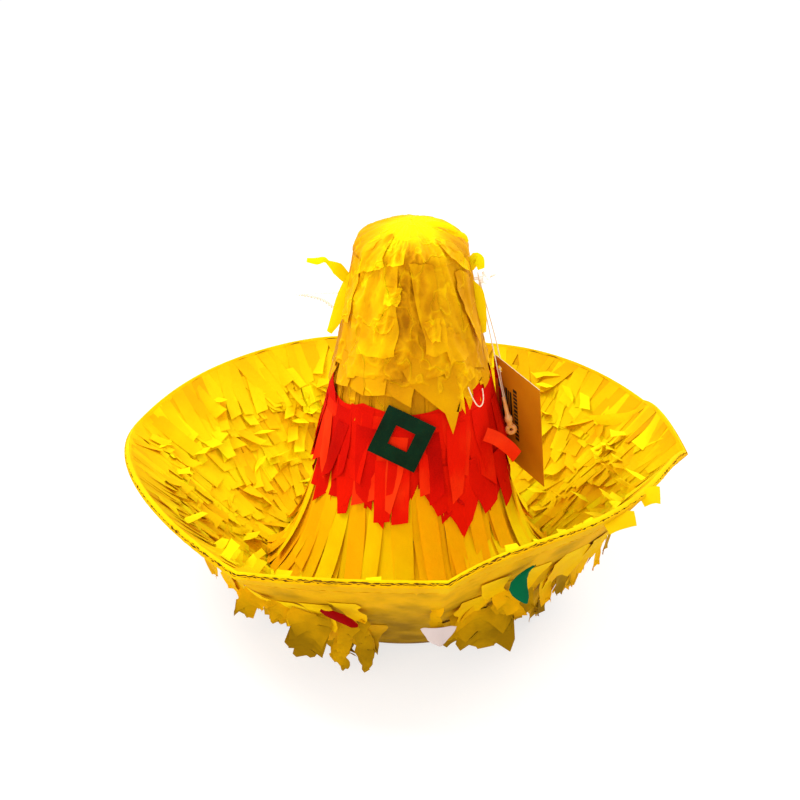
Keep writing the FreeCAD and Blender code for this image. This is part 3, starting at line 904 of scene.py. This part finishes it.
def under_tier_piece(number, glued, density, leaves):
    """One tier on the underside: ragged leaves scattered round it and a few placed ones."""
    rng, paper = random.Random("under_strips_%d" % number), Paper()
    for start in (glued, glued - 13 * MM):
        angle = rng.uniform(0, 0.1)
        while angle < tau:
            width = rng.uniform(9, 21) * MM
            if rng.random() > 1.1 * blob(angle, 272, 34):
                # The leaves are toned dark, and darker on each lower tier: painted shade under the brim.
                ragged_leaf(paper, rng, angle, start + rng.uniform(-5, 5) * MM, width,
                            rng.uniform(22, 40) * MM, rng.uniform(0.15, 0.75),
                            clip_tone(rng.gauss(0.36 - 0.05 * number, 0.10)), rng.gauss(0, 0.3),
                            rng.uniform(0.35, 0.95), rng.uniform(1.6, 2.8))
            angle += width * rng.uniform(*density) / brim_radius(angle, start)
    for angle, up, width, long, droop, tone, skew, tip in leaves:
        ragged_leaf(paper, rng, radians(angle), up * MM, width * MM, long * MM, droop, tone, skew, tip, 2.2)
    if number == 3:
        for path, widths, tone in DROOPING:
            free_strip(paper, path, widths, (0.0, -0.9, 0.4), fade(tone + 0.1, tone - 0.1, 22), 7, 0.4)
    paper.piece("under_strips_%d" % number, yellow, "yellow_tissue", "under_fringe_%d" % number)


# Strips that stick out past the rim: path, widths along it, tone.
OUTWARD = (
    (((155, -103, 119), (160, -101, 121), (165, -98, 121), (169, -95, 119)), (10, 11, 12, 12), 0.62),
    (((128, -136, 116), (134, -131, 117), (142, -126, 117), (149.5, -121, 115)), (11, 12, 12, 10), 0.55),
)


def outward_strips():
    """Strips glued under the rim at the right, outside the CAD's pieces."""
    paper = Paper()
    for path, widths, tone in OUTWARD:
        free_strip(paper, path, widths, (0.1, -0.8, 0.6), tone)
    paper.piece("outward_strips", yellow, "yellow_tissue")


# -------- crown

def crown_reach(_, z):
    """Radius of the crown, in the form that ribbon asks for."""
    return crown_radius(z)


def free_of_brim(angle, z, lift):
    """Point on the crown's flank, kept off the brim."""
    return off_brim(crown(angle, z, lift), 4.0 * MM)


def crown_tier(paper, rng, edge, long, lift, widths, rise, tones, skew, over, tip, slant=0.1, surface=crown,
               rows=7):
    """Strips hanging round the crown.

    edge gives their top at an angle; long, widths, rise, tones and tip are spans, skew is a spread, and over
    is the step from one strip to the next as a share of its width.
    """
    angle = rng.uniform(0, 0.2)
    end = angle + tau
    while angle < end:
        top, width = edge(angle), rng.uniform(*widths) * MM
        grid = ribbon(surface, crown_reach, angle, top + rng.uniform(-1.5, 1.5) * MM, lift * MM, width,
                      rng.uniform(*long) * MM, rng.gauss(0, skew),
                      (rise[0] * rng.uniform(0.6, 1.2), rise[1] * rng.uniform(0.5, 1.4)),
                      rng.uniform(-0.35, 0.35), 0, rng.uniform(-0.6, 0.6) * MM,
                      rng.uniform(-slant, slant), rng.uniform(*tip), rows, 0.2 * MM)
        # Painted shade: each strip darker at its glued top, under the strips above, and lighter towards its
        # loose end.
        paper.sheet(grid, rng.uniform(*tones) + fade(-0.06, 0.08, rows))
        angle += width * over * rng.uniform(0.85, 1.1) / crown_radius(top)


def crown_band(paper, edge, deep, lift, tone, seed, wobble=1.5):
    """Uncut heading of a tier, down from its edge right round the crown; sizes are in millimetres."""
    rows = []
    for row in range(6):
        line = []
        for a in around(180):
            z = edge(a) + wobble * MM * ring_noise(a, 2, seed) - deep * MM * row / 5
            line.append(crown(a, z, lift * MM + 0.5 * MM * abs(ring_noise(a, 9, z * 40 + seed))))
        rows.append(line)
    paper.sheet(rows, tone, closed=True)


def crown_strip(heading, top, lift, wide, long, skew, rise, roll, cup, slant, tip, rows, least):
    """Grid of a placed strip on the crown, in degrees and millimetres."""
    return ribbon(crown, crown_reach, radians(heading), top * MM, lift * MM, wide * MM, long * MM, skew,
                  rise, roll, 0, cup * MM, slant, tip, rows, least * MM)


def red_top(angle):
    """Height of the red band's glued edge, which dips at the front behind the buckle."""
    return (173 - 11.5 * max(blob(angle, 265, 62), blob(angle, 215, 40))) * MM


# Tiers of strips round the crown, in millimetres: drop from the edge of the heading, then the arguments of
# crown_tier from long to tip.
# The tiers under the wrap's hem: ochre paper, toned darker still as painted shade.
OCHRE_AND_SHADE_TIERS = ((4, (34, 38), 0.6, (8, 11), (0.01, 0.02), (0.1, 0.3), 0.02, 0.97, (1.0, 1.0)),
               (0, (30, 36), 0.8, (8, 11), (0.01, 0.03), (0.15, 0.35), 0.03, 1.25, (1.0, 1.0)))
RED_LOW_TIERS = ((0, (34, 44), 1.0, (12, 19), (0.05, 0.16), (0.2, 0.75), 0.10, 0.85, (0.35, 1.0)),)
RED_TOP_TIERS = ((3, (46, 62), 2.5, (15, 27), (0.02, 0.10), (0.4, 0.95), 0.14, 0.8, (0.3, 1.0)),
                 (16, (36, 54), 3.1, (10, 17), (0.03, 0.16), (0.3, 0.95), 0.2, 1.7, (0.2, 1.0)))
SKIRT_LOW_TIERS = ((0, (62, 76), 0.8, (11, 16), (0.30, 0.85), (0.25, 0.9), 0.08, 0.62, (0.7, 1.0)),
                   (10, (46, 62), 1.4, (11, 15), (0.35, 0.85), (0.3, 0.95), 0.12, 0.9, (0.8, 1.0)))
SKIRT_TOP_TIERS = ((0, (66, 80), 0.8, (11, 17), (0.08, 0.36), (0.2, 0.8), 0.06, 0.72, (0.8, 1.0)),
                   (4, (70, 90), 1.5, (10, 15), (0.10, 0.44), (0.3, 0.9), 0.09, 1.35, (0.8, 1.0)))

# Placed red strips, in degrees and millimetres: heading, top, width, length, skew, tip.
RED_TONGUES = (
    (-107, 128, 11.5, 43, 0.03, 0.95), (-96, 128, 11.5, 43, 0.0, 0.95), (-134, 124, 15, 40, 0.1, 0.5),
    (-126, 124, 13, 34, -0.15, 0.3), (-79, 122, 18, 32, 0.25, 0.4), (-60, 124, 34, 50, 0.0, 0.12),
    (-43, 123, 28, 38, 0.1, 0.5), (-20, 120, 22, 40, 0.0, 0.7),
)
# Narrow red strips turned up at the left: heading, top, length, skew; and a loose strip that sticks out.
RED_TWISTS = ((-165, 158, 18, 2.9), (-156, 158, 15, 3.4), (-172, 150, 50, -0.3))
RED_LOOSE = ((52, -41, 139.5), (60, -43, 137), (69, -41, 129), (75, -37, 120))


def red_tongues(paper, rng):
    """Placed strips of the lower red tier."""
    for heading, top, wide, long, skew, tip in RED_TONGUES:
        grid = crown_strip(heading, top, 3.4, wide, long, skew, (0.03, 0.12), 0, 0.4, 0.1, tip, 8, 2.4)
        paper.sheet(grid, rng.uniform(0.55, 0.75))


def red_ends(paper, _):
    """Placed strips of the upper red tier."""
    for heading, top, long, skew in RED_TWISTS:
        paper.sheet(crown_strip(heading, top, 3.6, 9, long, skew, (0.02, 0.15), 0.2, 0.4, 0.2, 0.25, 7, 2.6))
    out = [p * MM for p in smooth_path(RED_LOOSE, 3)]
    paper.sheet(flat_ribbon(out, [10 * MM] * len(out), (0.2, -0.85, 0.5), 0.8 * MM), 0.95)


def crown_piece(seed, name, node, look, band, tiers, more=None, edge=None, **form):
    """Strips round the crown on an uncut heading, glued at the node's top or along another edge."""
    rng, paper = random.Random(seed), Paper()
    node_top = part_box(node)[1].z
    edge = edge or (lambda a: node_top)
    crown_band(paper, edge, *band)
    for drop, *tier in tiers:
        crown_tier(paper, rng, lambda a: edge(a) - drop * MM, *tier, **form)
    if more:
        more(paper, rng)
    paper.piece(name, *look, node)


def crown_pieces():
    """The tiers from under the wrap's hem down to the crown's foot."""
    red_look, skirt_look = (red, "red_tissue"), (amber, "amber_tissue")
    # The crown fringe and its heading are toned dark: ochre paper with painted shade.
    crown_piece("crown fringe", "crown_strips", "crown_fringe", (wrap_paper, "yellow_tissue"),
                (36, 0.4, 0.2, 1), OCHRE_AND_SHADE_TIERS)
    crown_piece("red lower", "red_strips_lower", "red_fringe_lower", red_look, (20, 0.8, 0.4, 11),
                RED_LOW_TIERS, red_tongues, slant=0.4)
    crown_piece("red upper", "red_strips_upper", "red_fringe_upper", red_look, (47, 2.0, 0.62, 12, 2.5),
                RED_TOP_TIERS, red_ends, red_top, slant=0.45)
    crown_piece("skirt lower", "skirt_strips_lower", "skirt_fringe_lower", skirt_look, (20, 0.5, 0.4, 21),
                SKIRT_LOW_TIERS, slant=0.15, surface=free_of_brim, rows=9)
    crown_piece("skirt upper", "skirt_strips_upper", "skirt_fringe_upper", skirt_look, (24, 0.5, 0.45, 22),
                SKIRT_TOP_TIERS, slant=0.12, surface=free_of_brim, rows=9)


# -------- crumpled wrap

HOLES = (0, 180)            # headings of the cord holes
WRAP_HEM_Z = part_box("crown_wrap")[0].z
DOME_RISE = CREST_Z - CROWN_TOP_Z
DOME_R = CROWN_TOP_R + 0.9 * MM
DOME_ARC = 0.756 * (DOME_RISE + DOME_R)     # about a quarter of the way round the dome's ellipse


def ridge(x, y, z, sharp):
    """Sharp ridge of noise from 0 to 1; a higher number makes it narrower."""
    return 1 - min(1.0, sharp * abs(wander(x, y, z)))


def creases(a, s):
    """Ridges of crumpled tissue, each from 0 to 1: long ones that spread downwards, slanting and small."""
    x, y = cos(a) / (0.6 + s / 0.13), sin(a)
    long = ridge(3.0 * x, 2.6 * y, s * 11, 3.4)
    slant = ridge(6.0 * x, 4.6 * y, s * 48 + 2.0 * x, 3.2)
    return long, slant, ridge(9 * x, 8 * y, s * 150 + long, 3.4)


def window(value, low, high, soft):
    """One between low and high, falling to nothing over a soft edge on both sides."""
    return min(1.0, max(0.0, (value - low) / soft + 1)) * min(1.0, max(0.0, (high - value) / soft + 1))


def busy(a):
    """How crumpled the tissue is: most at the front, and smooth at the two cord holes."""
    calm = max(blob(a, HOLES[0], 36), blob(a, HOLES[1], 20))
    return (0.45 + 0.8 * blob(a, 258, 48)) * (1 - 0.8 * calm)


def crumple(a, s):
    """Height of the crumpled tissue over the card, with a pouch on both sides of a valley at the front."""
    long, slant, small = creases(a, s)
    down = s / MM
    pouch = blob(a, 232, 36) * window(down, 45, 85, 22) + 1.6 * blob(a, 300, 30) * window(down, 55, 110, 25)
    valley = 1.3 * blob(a, 271, 17) * window(down, 42, 110, 20)
    calm = 1 - 0.85 * max(blob(a, HOLES[0], 36), blob(a, HOLES[1], 14))
    return (0.2 + (1.8 * long + pouch) * calm + busy(a) * (1.5 * slant + 0.7 * small) - valley) * MM


def spot(point, centre, size):
    """One at a centre seen from above, falling softly over a size."""
    return exp(-((point[0] - centre[0]) ** 2 + (point[1] - centre[1]) ** 2) / size ** 2)


def wrap_point(a, down, lift=0.0):
    """Point on the wrap a distance down from the crest, over the dome and then down the flank."""
    share = min(down / DOME_ARC, 1.0) * pi / 2
    drop = max(0.0, down - DOME_ARC)
    relief = crumple(a, down)
    if drop <= 0:
        out = np.array([cos(a) * sin(share), sin(a) * sin(share), cos(share)])
        point = np.array([out[0] * DOME_R, out[1] * DOME_R, CROWN_TOP_Z + out[2] * DOME_RISE])
        peak = 1.8 * MM * spot(point, (7 * MM, 0), 16 * MM)
        return point + out * (0.4 * MM + peak + max(relief, 0.0) * min(1.0, down / (40 * MM)) + lift)
    z = CROWN_TOP_Z - drop * cos(TAPER)
    return crown(a, z, max(relief, 0.0) + 0.9 * MM + lift + 0.4 * MM * min(1.0, drop / (30 * MM)))


def crease_highlight_tone(a, down):
    """Painted highlight: how much brighter the tissue is painted on its creases."""
    long, slant, small = creases(a, down)
    away = min(1.0, down / (30 * MM))
    return away * (0.10 * long + busy(a) * (0.16 * slant + 0.12 * small))


def wrap_tone(a, down):
    """Tone of the wrap, mostly painted light: brighter on the dome as lit from above, a painted highlight
    patch, painted light on the left flank, painted shade down the front valley, and painted crease
    highlights.
    """
    # Painted light from above: brighter towards the crest.
    glow = 1 - min(1.0, down / (DOME_ARC * 0.95))
    out = DOME_R * sin(min(down / DOME_ARC, 1.0) * pi / 2)
    # Painted highlight: a bright patch on the dome.
    painted_highlight = spot((out * cos(a), out * sin(a)), (4 * MM, -9 * MM), 21 * MM)
    # Painted light on the left flank and a little on the right, with random mottling.
    side = 0.14 * blob(a, 222, 56) + 0.06 * blob(a, 305, 30) + 0.12 * ring_noise(a, 2, down * 12)
    # Painted shade down the valley at the front.
    dark = 0.26 * blob(a, 268, 28) * window(down / MM, 40, 120, 25)
    return 0.21 + 0.28 * glow ** 0.8 + 0.44 * painted_highlight + side - dark + crease_highlight_tone(a, down)


def torn_sheet(paper, seed, corners, lift, tone):
    """Torn sheet on the wrap; corners are headings and heights in millimetres, clockwise from top left."""
    rows, cols, grid, tones = 18, 14, [], []
    top_left, top_right, low_right, low_left = (np.array(corner, dtype=float) for corner in corners)
    rag = min(4.5, 0.13 * (top_left[1] - low_left[1]))
    for v in np.linspace(0, 1, rows):
        line, shades = [], []
        for u in np.linspace(0, 1, cols):
            edge = 1 - min(1.0, 5 * min(u, 1 - u, v, 1 - v))
            torn = [wander(seed * 3.1 + k, u * 3.2, v * 3.2) for k in (0, 9)]
            across = (top_left * (1 - u) + top_right * u) * (1 - v) + (low_left * (1 - u) + low_right * u) * v
            heading, z = across + rag * edge * np.array(torn)
            a, down = radians(heading), DOME_ARC + (CROWN_TOP_Z - z * MM) / cos(TAPER)
            raised = 0.5 + lift * (0.3 + v * v) + 0.9 * edge * abs(sin(seed + 4 * u + 3 * v))
            line.append(wrap_point(a, max(down, 1 * MM), raised * MM))
            # Tone with the painted crease highlights, a little lighter towards the foot and at the torn edge.
            shades.append(tone - 0.14 + 0.12 * v + crease_highlight_tone(a, down) + 0.06 * edge)
        grid.append(line)
        tones.append(shades)
    paper.sheet(grid, tones)


# Placed torn sheets: corners, how far the foot stands off, tone.
TORN_SHEETS = (
    (((-128, 264), (-101, 266), (-101, 203), (-134, 199)), 0.7, 0.38),
    (((-93, 268), (-70, 264), (-62, 204), (-78, 202)), 1.0, 0.29),
    (((-58, 284), (-36, 270), (-16, 244), (-50, 268)), 0.8, 0.48),
    (((-46, 257), (-18, 246), (-29, 200), (-42, 226)), 1.4, 0.33),
    (((-111, 249), (-98, 249), (-100, 236), (-112, 238)), 2.0, 0.50),
    (((-115, 230), (-101, 229), (-108, 217), (-118, 219)), 2.0, 0.40),
    (((-81, 226), (-67, 228), (-68, 212), (-75, 212)), 1.8, 0.42),
    (((-110, 272), (-95, 280), (-97, 266), (-111, 264)), 1.6, 0.50),
    (((-133, 280), (-118, 288), (-114, 262), (-146, 252)), 1.2, 0.46),
    (((-70, 222), (-48, 214), (-44, 196), (-60, 194)), 1.2, 0.34),
    (((-160, 262), (-142, 262), (-150, 216), (-164, 222)), 0.7, 0.44),
)


# Torn flaps at the hem, in degrees and millimetres: heading, top, width, length, skew, tip, slant, tone.
FLAPS = (
    (-85, 203, 32, 52, 0.50, 0.22, 0.35, 0.34), (-72, 199, 22, 38, 0.42, 0.30, -0.3, 0.44),
    (-58, 201, 17, 38, 0.30, 0.25, 0.3, 0.30), (-101, 193, 24, 21, 0.1, 0.7, -0.2, 0.32),
    (-118, 197, 18, 24, 0.05, 0.9, 0.1, 0.42), (-131, 192, 15, 19, -0.05, 0.95, -0.1, 0.34),
    (-145, 196, 17, 24, -0.1, 0.9, 0.1, 0.40), (-40, 194, 18, 20, 0.1, 0.8, 0.2, 0.30),
    (-24, 191, 16, 20, 0.1, 0.7, 0.2, 0.26),
)
BACK_SHEETS, HEM_FLAPS = 14, 26     # how many random ones there are


def wrap_skin(rng):
    """The one sheet of crumpled tissue over the crown, with a ragged hem."""
    paper, angles, rows = Paper(), around(300), 124
    deep = DOME_ARC + (CROWN_TOP_Z - WRAP_HEM_Z) / cos(TAPER)
    hem = []
    while len(hem) < len(angles):
        wide, drop, tilt = rng.randint(4, 13), rng.uniform(-7, 3) * MM, rng.uniform(-0.4, 0.4) * MM
        hem += [drop + tilt * k for k in range(wide)]
    grid, tones = [], []
    for share in np.linspace(0, 1, rows):
        downs = [0.5 * MM + share * (deep - 0.5 * MM + drop * max(0, share - 0.85) * 6.6) for drop in hem]
        lift = 10 * MM * max(0, share - 0.9)
        grid.append([wrap_point(a, down, lift) for a, down in zip(angles, downs)])
        tones.append([wrap_tone(a, down) for a, down in zip(angles, downs)])
    paper.sheet(grid, tones, closed=True)
    paper.piece("crown_wrap_tissue", wrap_paper, "wrap_tissue", "crown_wrap")


def wrap_piece():
    """The wrap's skin, and torn sheets and flaps over it, placed at the front and random at the back."""
    rng, paper = random.Random("wrap"), Paper()
    wrap_skin(rng)
    for seed, (corners, lift, tone) in enumerate(TORN_SHEETS):
        torn_sheet(paper, seed, corners, lift, tone)
    for seed in range(BACK_SHEETS):
        at, top, wide = rng.uniform(18, 132), rng.uniform(215, 262), rng.uniform(12, 26)
        long, lean, shrink = rng.uniform(18, 48), rng.uniform(-12, 12), rng.uniform(0, 0.9)
        corners = ((at, top), (at + wide, top + rng.uniform(-8, 8)),
                   (at + wide * (1 - shrink / 2) + lean, top - long),
                   (at + wide * shrink / 2 + lean, top - long))
        torn_sheet(paper, seed + 20, corners, rng.uniform(0.4, 1.2), rng.uniform(0.30, 0.52))
    wrap_flaps(paper)
    paper.piece("crown_wrap_torn", wrap_paper, "wrap_tissue")


def wrap_flaps(paper):
    """Torn flaps: the placed ones at the front and random ones along the rest of the hem."""
    for heading, top, wide, long, skew, tip, slant, tone in FLAPS:
        grid = crown_strip(heading, top, 2.0, wide, long, skew, (0.08, 0.12), 0.10, 0.8, slant, tip, 12, 1.2)
        paper.sheet(grid, fade(tone - 0.10, tone + 0.08, 12))
    rng = random.Random("hem")
    for k in range(HEM_FLAPS):
        a = tau * (k + rng.uniform(0, 0.8)) / HEM_FLAPS
        if blob(a, 270, 80) < 0.2:
            grid = ribbon(crown, crown_reach, a, WRAP_HEM_Z + rng.uniform(9, 17) * MM, 1.8 * MM,
                          rng.uniform(10, 20) * MM, rng.uniform(16, 27) * MM, rng.gauss(0, 0.2), (0.05, 0.16),
                          rng.uniform(-0.2, 0.2), 0, 0.4 * MM, rng.uniform(-0.3, 0.3),
                          rng.uniform(0.3, 1.0), 6, 1.2 * MM)
            paper.sheet(grid, rng.uniform(0.28, 0.45))


# Loose ends beside the cord holes and on the crest: path, widths along it, direction that it faces, tone.
CROWN_SCRAPS = (
    (((-40, -5, 238), (-46, -6, 244), (-51, -7, 250), (-58, -7, 255)), (5, 8, 9, 2.5), (0.25, -0.9, 0.35),
     0.8),
    (((-56, -7, 253.5), (-60, -7, 256.5), (-65, -7, 255.4), (-72, -7, 256.2)), (1.5, 4, 5, 3),
     (0.1, -0.9, 0.4), 0.85),
    (((-38, -6, 246), (-43.5, -8, 238), (-48, -8, 226), (-53, -8, 212), (-57.5, -8, 203)), (8, 9, 10, 8, 4),
     (-0.3, -0.95, 0.1), 0.72),
    (((36, -7, 247), (40, -8, 252), (43, -8, 257), (44, -8, 261)), (6, 9, 9, 3), (0.3, -0.9, 0.2), 0.75),
    (((41, -6, 254), (44, -8, 258), (47, -8, 256), (48.5, -8, 250)), (3, 8, 8, 5), (0.3, -0.9, 0.2), 0.88),
    (((38, -10, 242), (44.5, -11, 233), (47.5, -11, 222), (49, -10, 212), (50.5, -9, 203)), (8, 12, 10, 8, 5),
     (0.2, -0.95, 0.1), 0.7),
    (((8, -6, 281.5), (17, -8, 282.5), (26, -9, 281), (31, -10, 277.5)), (3, 4, 4, 2), (0.2, -0.7, 0.7), 0.8),
    (((20, -12, 277), (29, -10, 276.5), (36, -9, 274.5), (39, -9, 270)), (4, 5, 4, 2), (0.3, -0.7, 0.7), 0.7),
)


def scraps_piece():
    """Loose ends of strips that stand off the crown."""
    paper = Paper()
    for path, widths, face, tone in CROWN_SCRAPS:
        free_strip(paper, path, widths, face, tone)
    paper.piece("crown_scraps", yellow, "yellow_tissue")


# -------- loose leaves, card pieces and stage

def leaf_piece(name, node, material, slot, outline, tone, cup=1.6):
    """Leaf that hangs under the brim; its outline lists the way down and the reach left and right."""
    low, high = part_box(node)
    centre = np.array((low + high) / 2)
    heading = atan2(centre[1], centre[0] - BRIM_X)
    across = np.array([-sin(heading), cos(heading), 0])
    out = np.array([cos(heading), sin(heading), 0])
    paper, grid = Paper(), []
    for row, (down, left, right) in enumerate(outline):
        line = []
        for share in (0, 0.25, 0.5, 0.75, 1):
            side = -left + (left + right) * share
            curve = cup * (1 - (2 * share - 1) ** 2) - 0.5 * sin(row * 0.9)
            line.append(centre + (across * side + out * curve) * MM - np.array([0, 0, down * MM]))
        grid.append(line)
    paper.sheet(grid, tone, 0.2 * MM)
    paper.piece(name, material, slot, node)


GREEN_OUTLINE = ((-14, -8, 10), (-12, -3, 8), (-9, 3, 5.5), (-5, 8, 4), (0, 9.5, 4), (5, 7, 5), (9, 3, 5.5),
                 (13, -2, 5))
WHITE_OUTLINE = ((-7, 10, 8), (-6, 12, 12), (-3, 10.5, 11), (0, 8.5, 9), (3, 7, 6), (5, 4.5, 4.5),
                 (7, 1, 2.5))
RED_OUTLINE = ((-5, 12, -4), (-3, 13, 3), (0, 9, 9), (3, 1, 13), (5, -6, 13))


def leaves():
    """The three loose leaves of coloured paper."""
    leaf_piece("green_leaf", "green_patch", green_leaf, "green_tissue", GREEN_OUTLINE, 0.6)
    leaf_piece("white_leaf", "white_patch", white_leaf, "white_tissue", WHITE_OUTLINE, 0.5)
    # The red leaf is toned dark: painted shade where it hangs between the flaps.
    leaf_piece("red_leaf", "red_patch", red, "red_tissue", RED_OUTLINE, 0.05)


def dress_card():
    """Materials for the card pieces that stay as the frame has them."""
    choice = {"base_disc": board, "fill_flap": board, "brim_board": board, "crown_shell": thin_card,
              "crown_cap": thin_card, "crown_seam_tape": tape, "crown_foot_tape": tape,
              "brim_seam_tape": tape, "buckle": buckle_card, "hang_tag": tag_material()}
    for node, material in choice.items():
        data = frame["nodes"][node].data
        data.materials.clear()
        data.materials.append(material)


def add_light(name, place, size, power):
    """Square lamp that faces the object."""
    data = bpy.data.lights.new(name, "AREA")
    data.energy, data.size = power, size
    light = add_object(name, data)
    light.location = place
    light.rotation_euler = (Vector((0, 0, 0.1)) - light.location).to_track_quat("-Z", "Y").to_euler()


FLOOR_HALF, FLOOR_DROP = 6.0, 0.2 * MM      # half its width, and how far it lies under the object
FLOOR_GREY, FLOOR_GLOW = 0.36, 0.71
SKY, SKY_SEEN = 0.8, 1.05         # strength of the white surroundings as light, and as the camera sees them


def white_surroundings():
    """White world that the camera sees a little brighter than it shines."""
    world = bpy.data.worlds.new("studio")
    world.use_nodes = True
    nodes, links = world.node_tree.nodes, world.node_tree.links
    backdrop, seen, level = nodes["Background"], nodes.new("ShaderNodeLightPath"), nodes.new("ShaderNodeMath")
    backdrop.inputs["Color"].default_value = (1, 1, 1, 1)
    level.operation = "MULTIPLY_ADD"
    level.inputs[1].default_value, level.inputs[2].default_value = SKY_SEEN - SKY, SKY
    links.new(seen.outputs["Is Camera Ray"], level.inputs[0])
    links.new(level.outputs[0], backdrop.inputs["Strength"])
    bpy.context.scene.world = world


def stage():
    """White floor, white surroundings and three lamps."""
    mesh = bpy.data.meshes.new("floor")
    corners = [(x * FLOOR_HALF, y * FLOOR_HALF, 0) for x, y in ((-1, -1), (1, -1), (1, 1), (-1, 1))]
    mesh.from_pydata(corners, [], [(0, 1, 2, 3)])
    mesh.materials.append(Look("floor").finish({
        "Base Color": (FLOOR_GREY, FLOOR_GREY, FLOOR_GREY, 1), "Roughness": 0.8, "Specular IOR Level": 0.0,
        "Emission Color": (1, 1, 1, 1), "Emission Strength": FLOOR_GLOW}))
    floor = add_object("floor", mesh)
    floor.location.z = -FLOOR_DROP
    white_surroundings()
    add_light("key", (-0.9, 0.1, 1.5), 0.6, 17)
    add_light("side", (1.0, 0.5, 1.1), 0.6, 12)
    add_light("fill", (-0.5, -1.4, 0.7), 1.0, 7)
    bpy.context.scene.view_settings.view_transform = "Standard"


# -------- the whole pinata

# Tiers of the brim in millimetres up its slope: where the rows are glued, and the foot.
BRIM_TIERS = (((155, 141, 130), 100), ((121,), 78), ((102,), 58), ((83,), 36), ((64, 46), 4))
# Tiers of the underside: where the leaves are glued, and the span of leaf widths from one to the next.
UNDER_TIERS = ((108, (1.3, 2.6)), (86, (1.0, 1.8)), (60, (1.0, 1.8)))


def build():
    """All pieces, in a fixed order."""
    add_camera()
    add_cords()
    stage()
    dress_card()
    tag_print()
    for number, (rows, low) in enumerate(BRIM_TIERS, 1):
        brim_tier_piece(number, [glued * MM for glued in rows], low * MM)
    under_wrap_piece()
    for number, (glued, density) in enumerate(UNDER_TIERS, 1):
        under_tier_piece(number, glued * MM, density, UNDER_LEAVES[number])
    outward_strips()
    rim_piece()
    crown_pieces()
    wrap_piece()
    scraps_piece()
    leaves()


build()
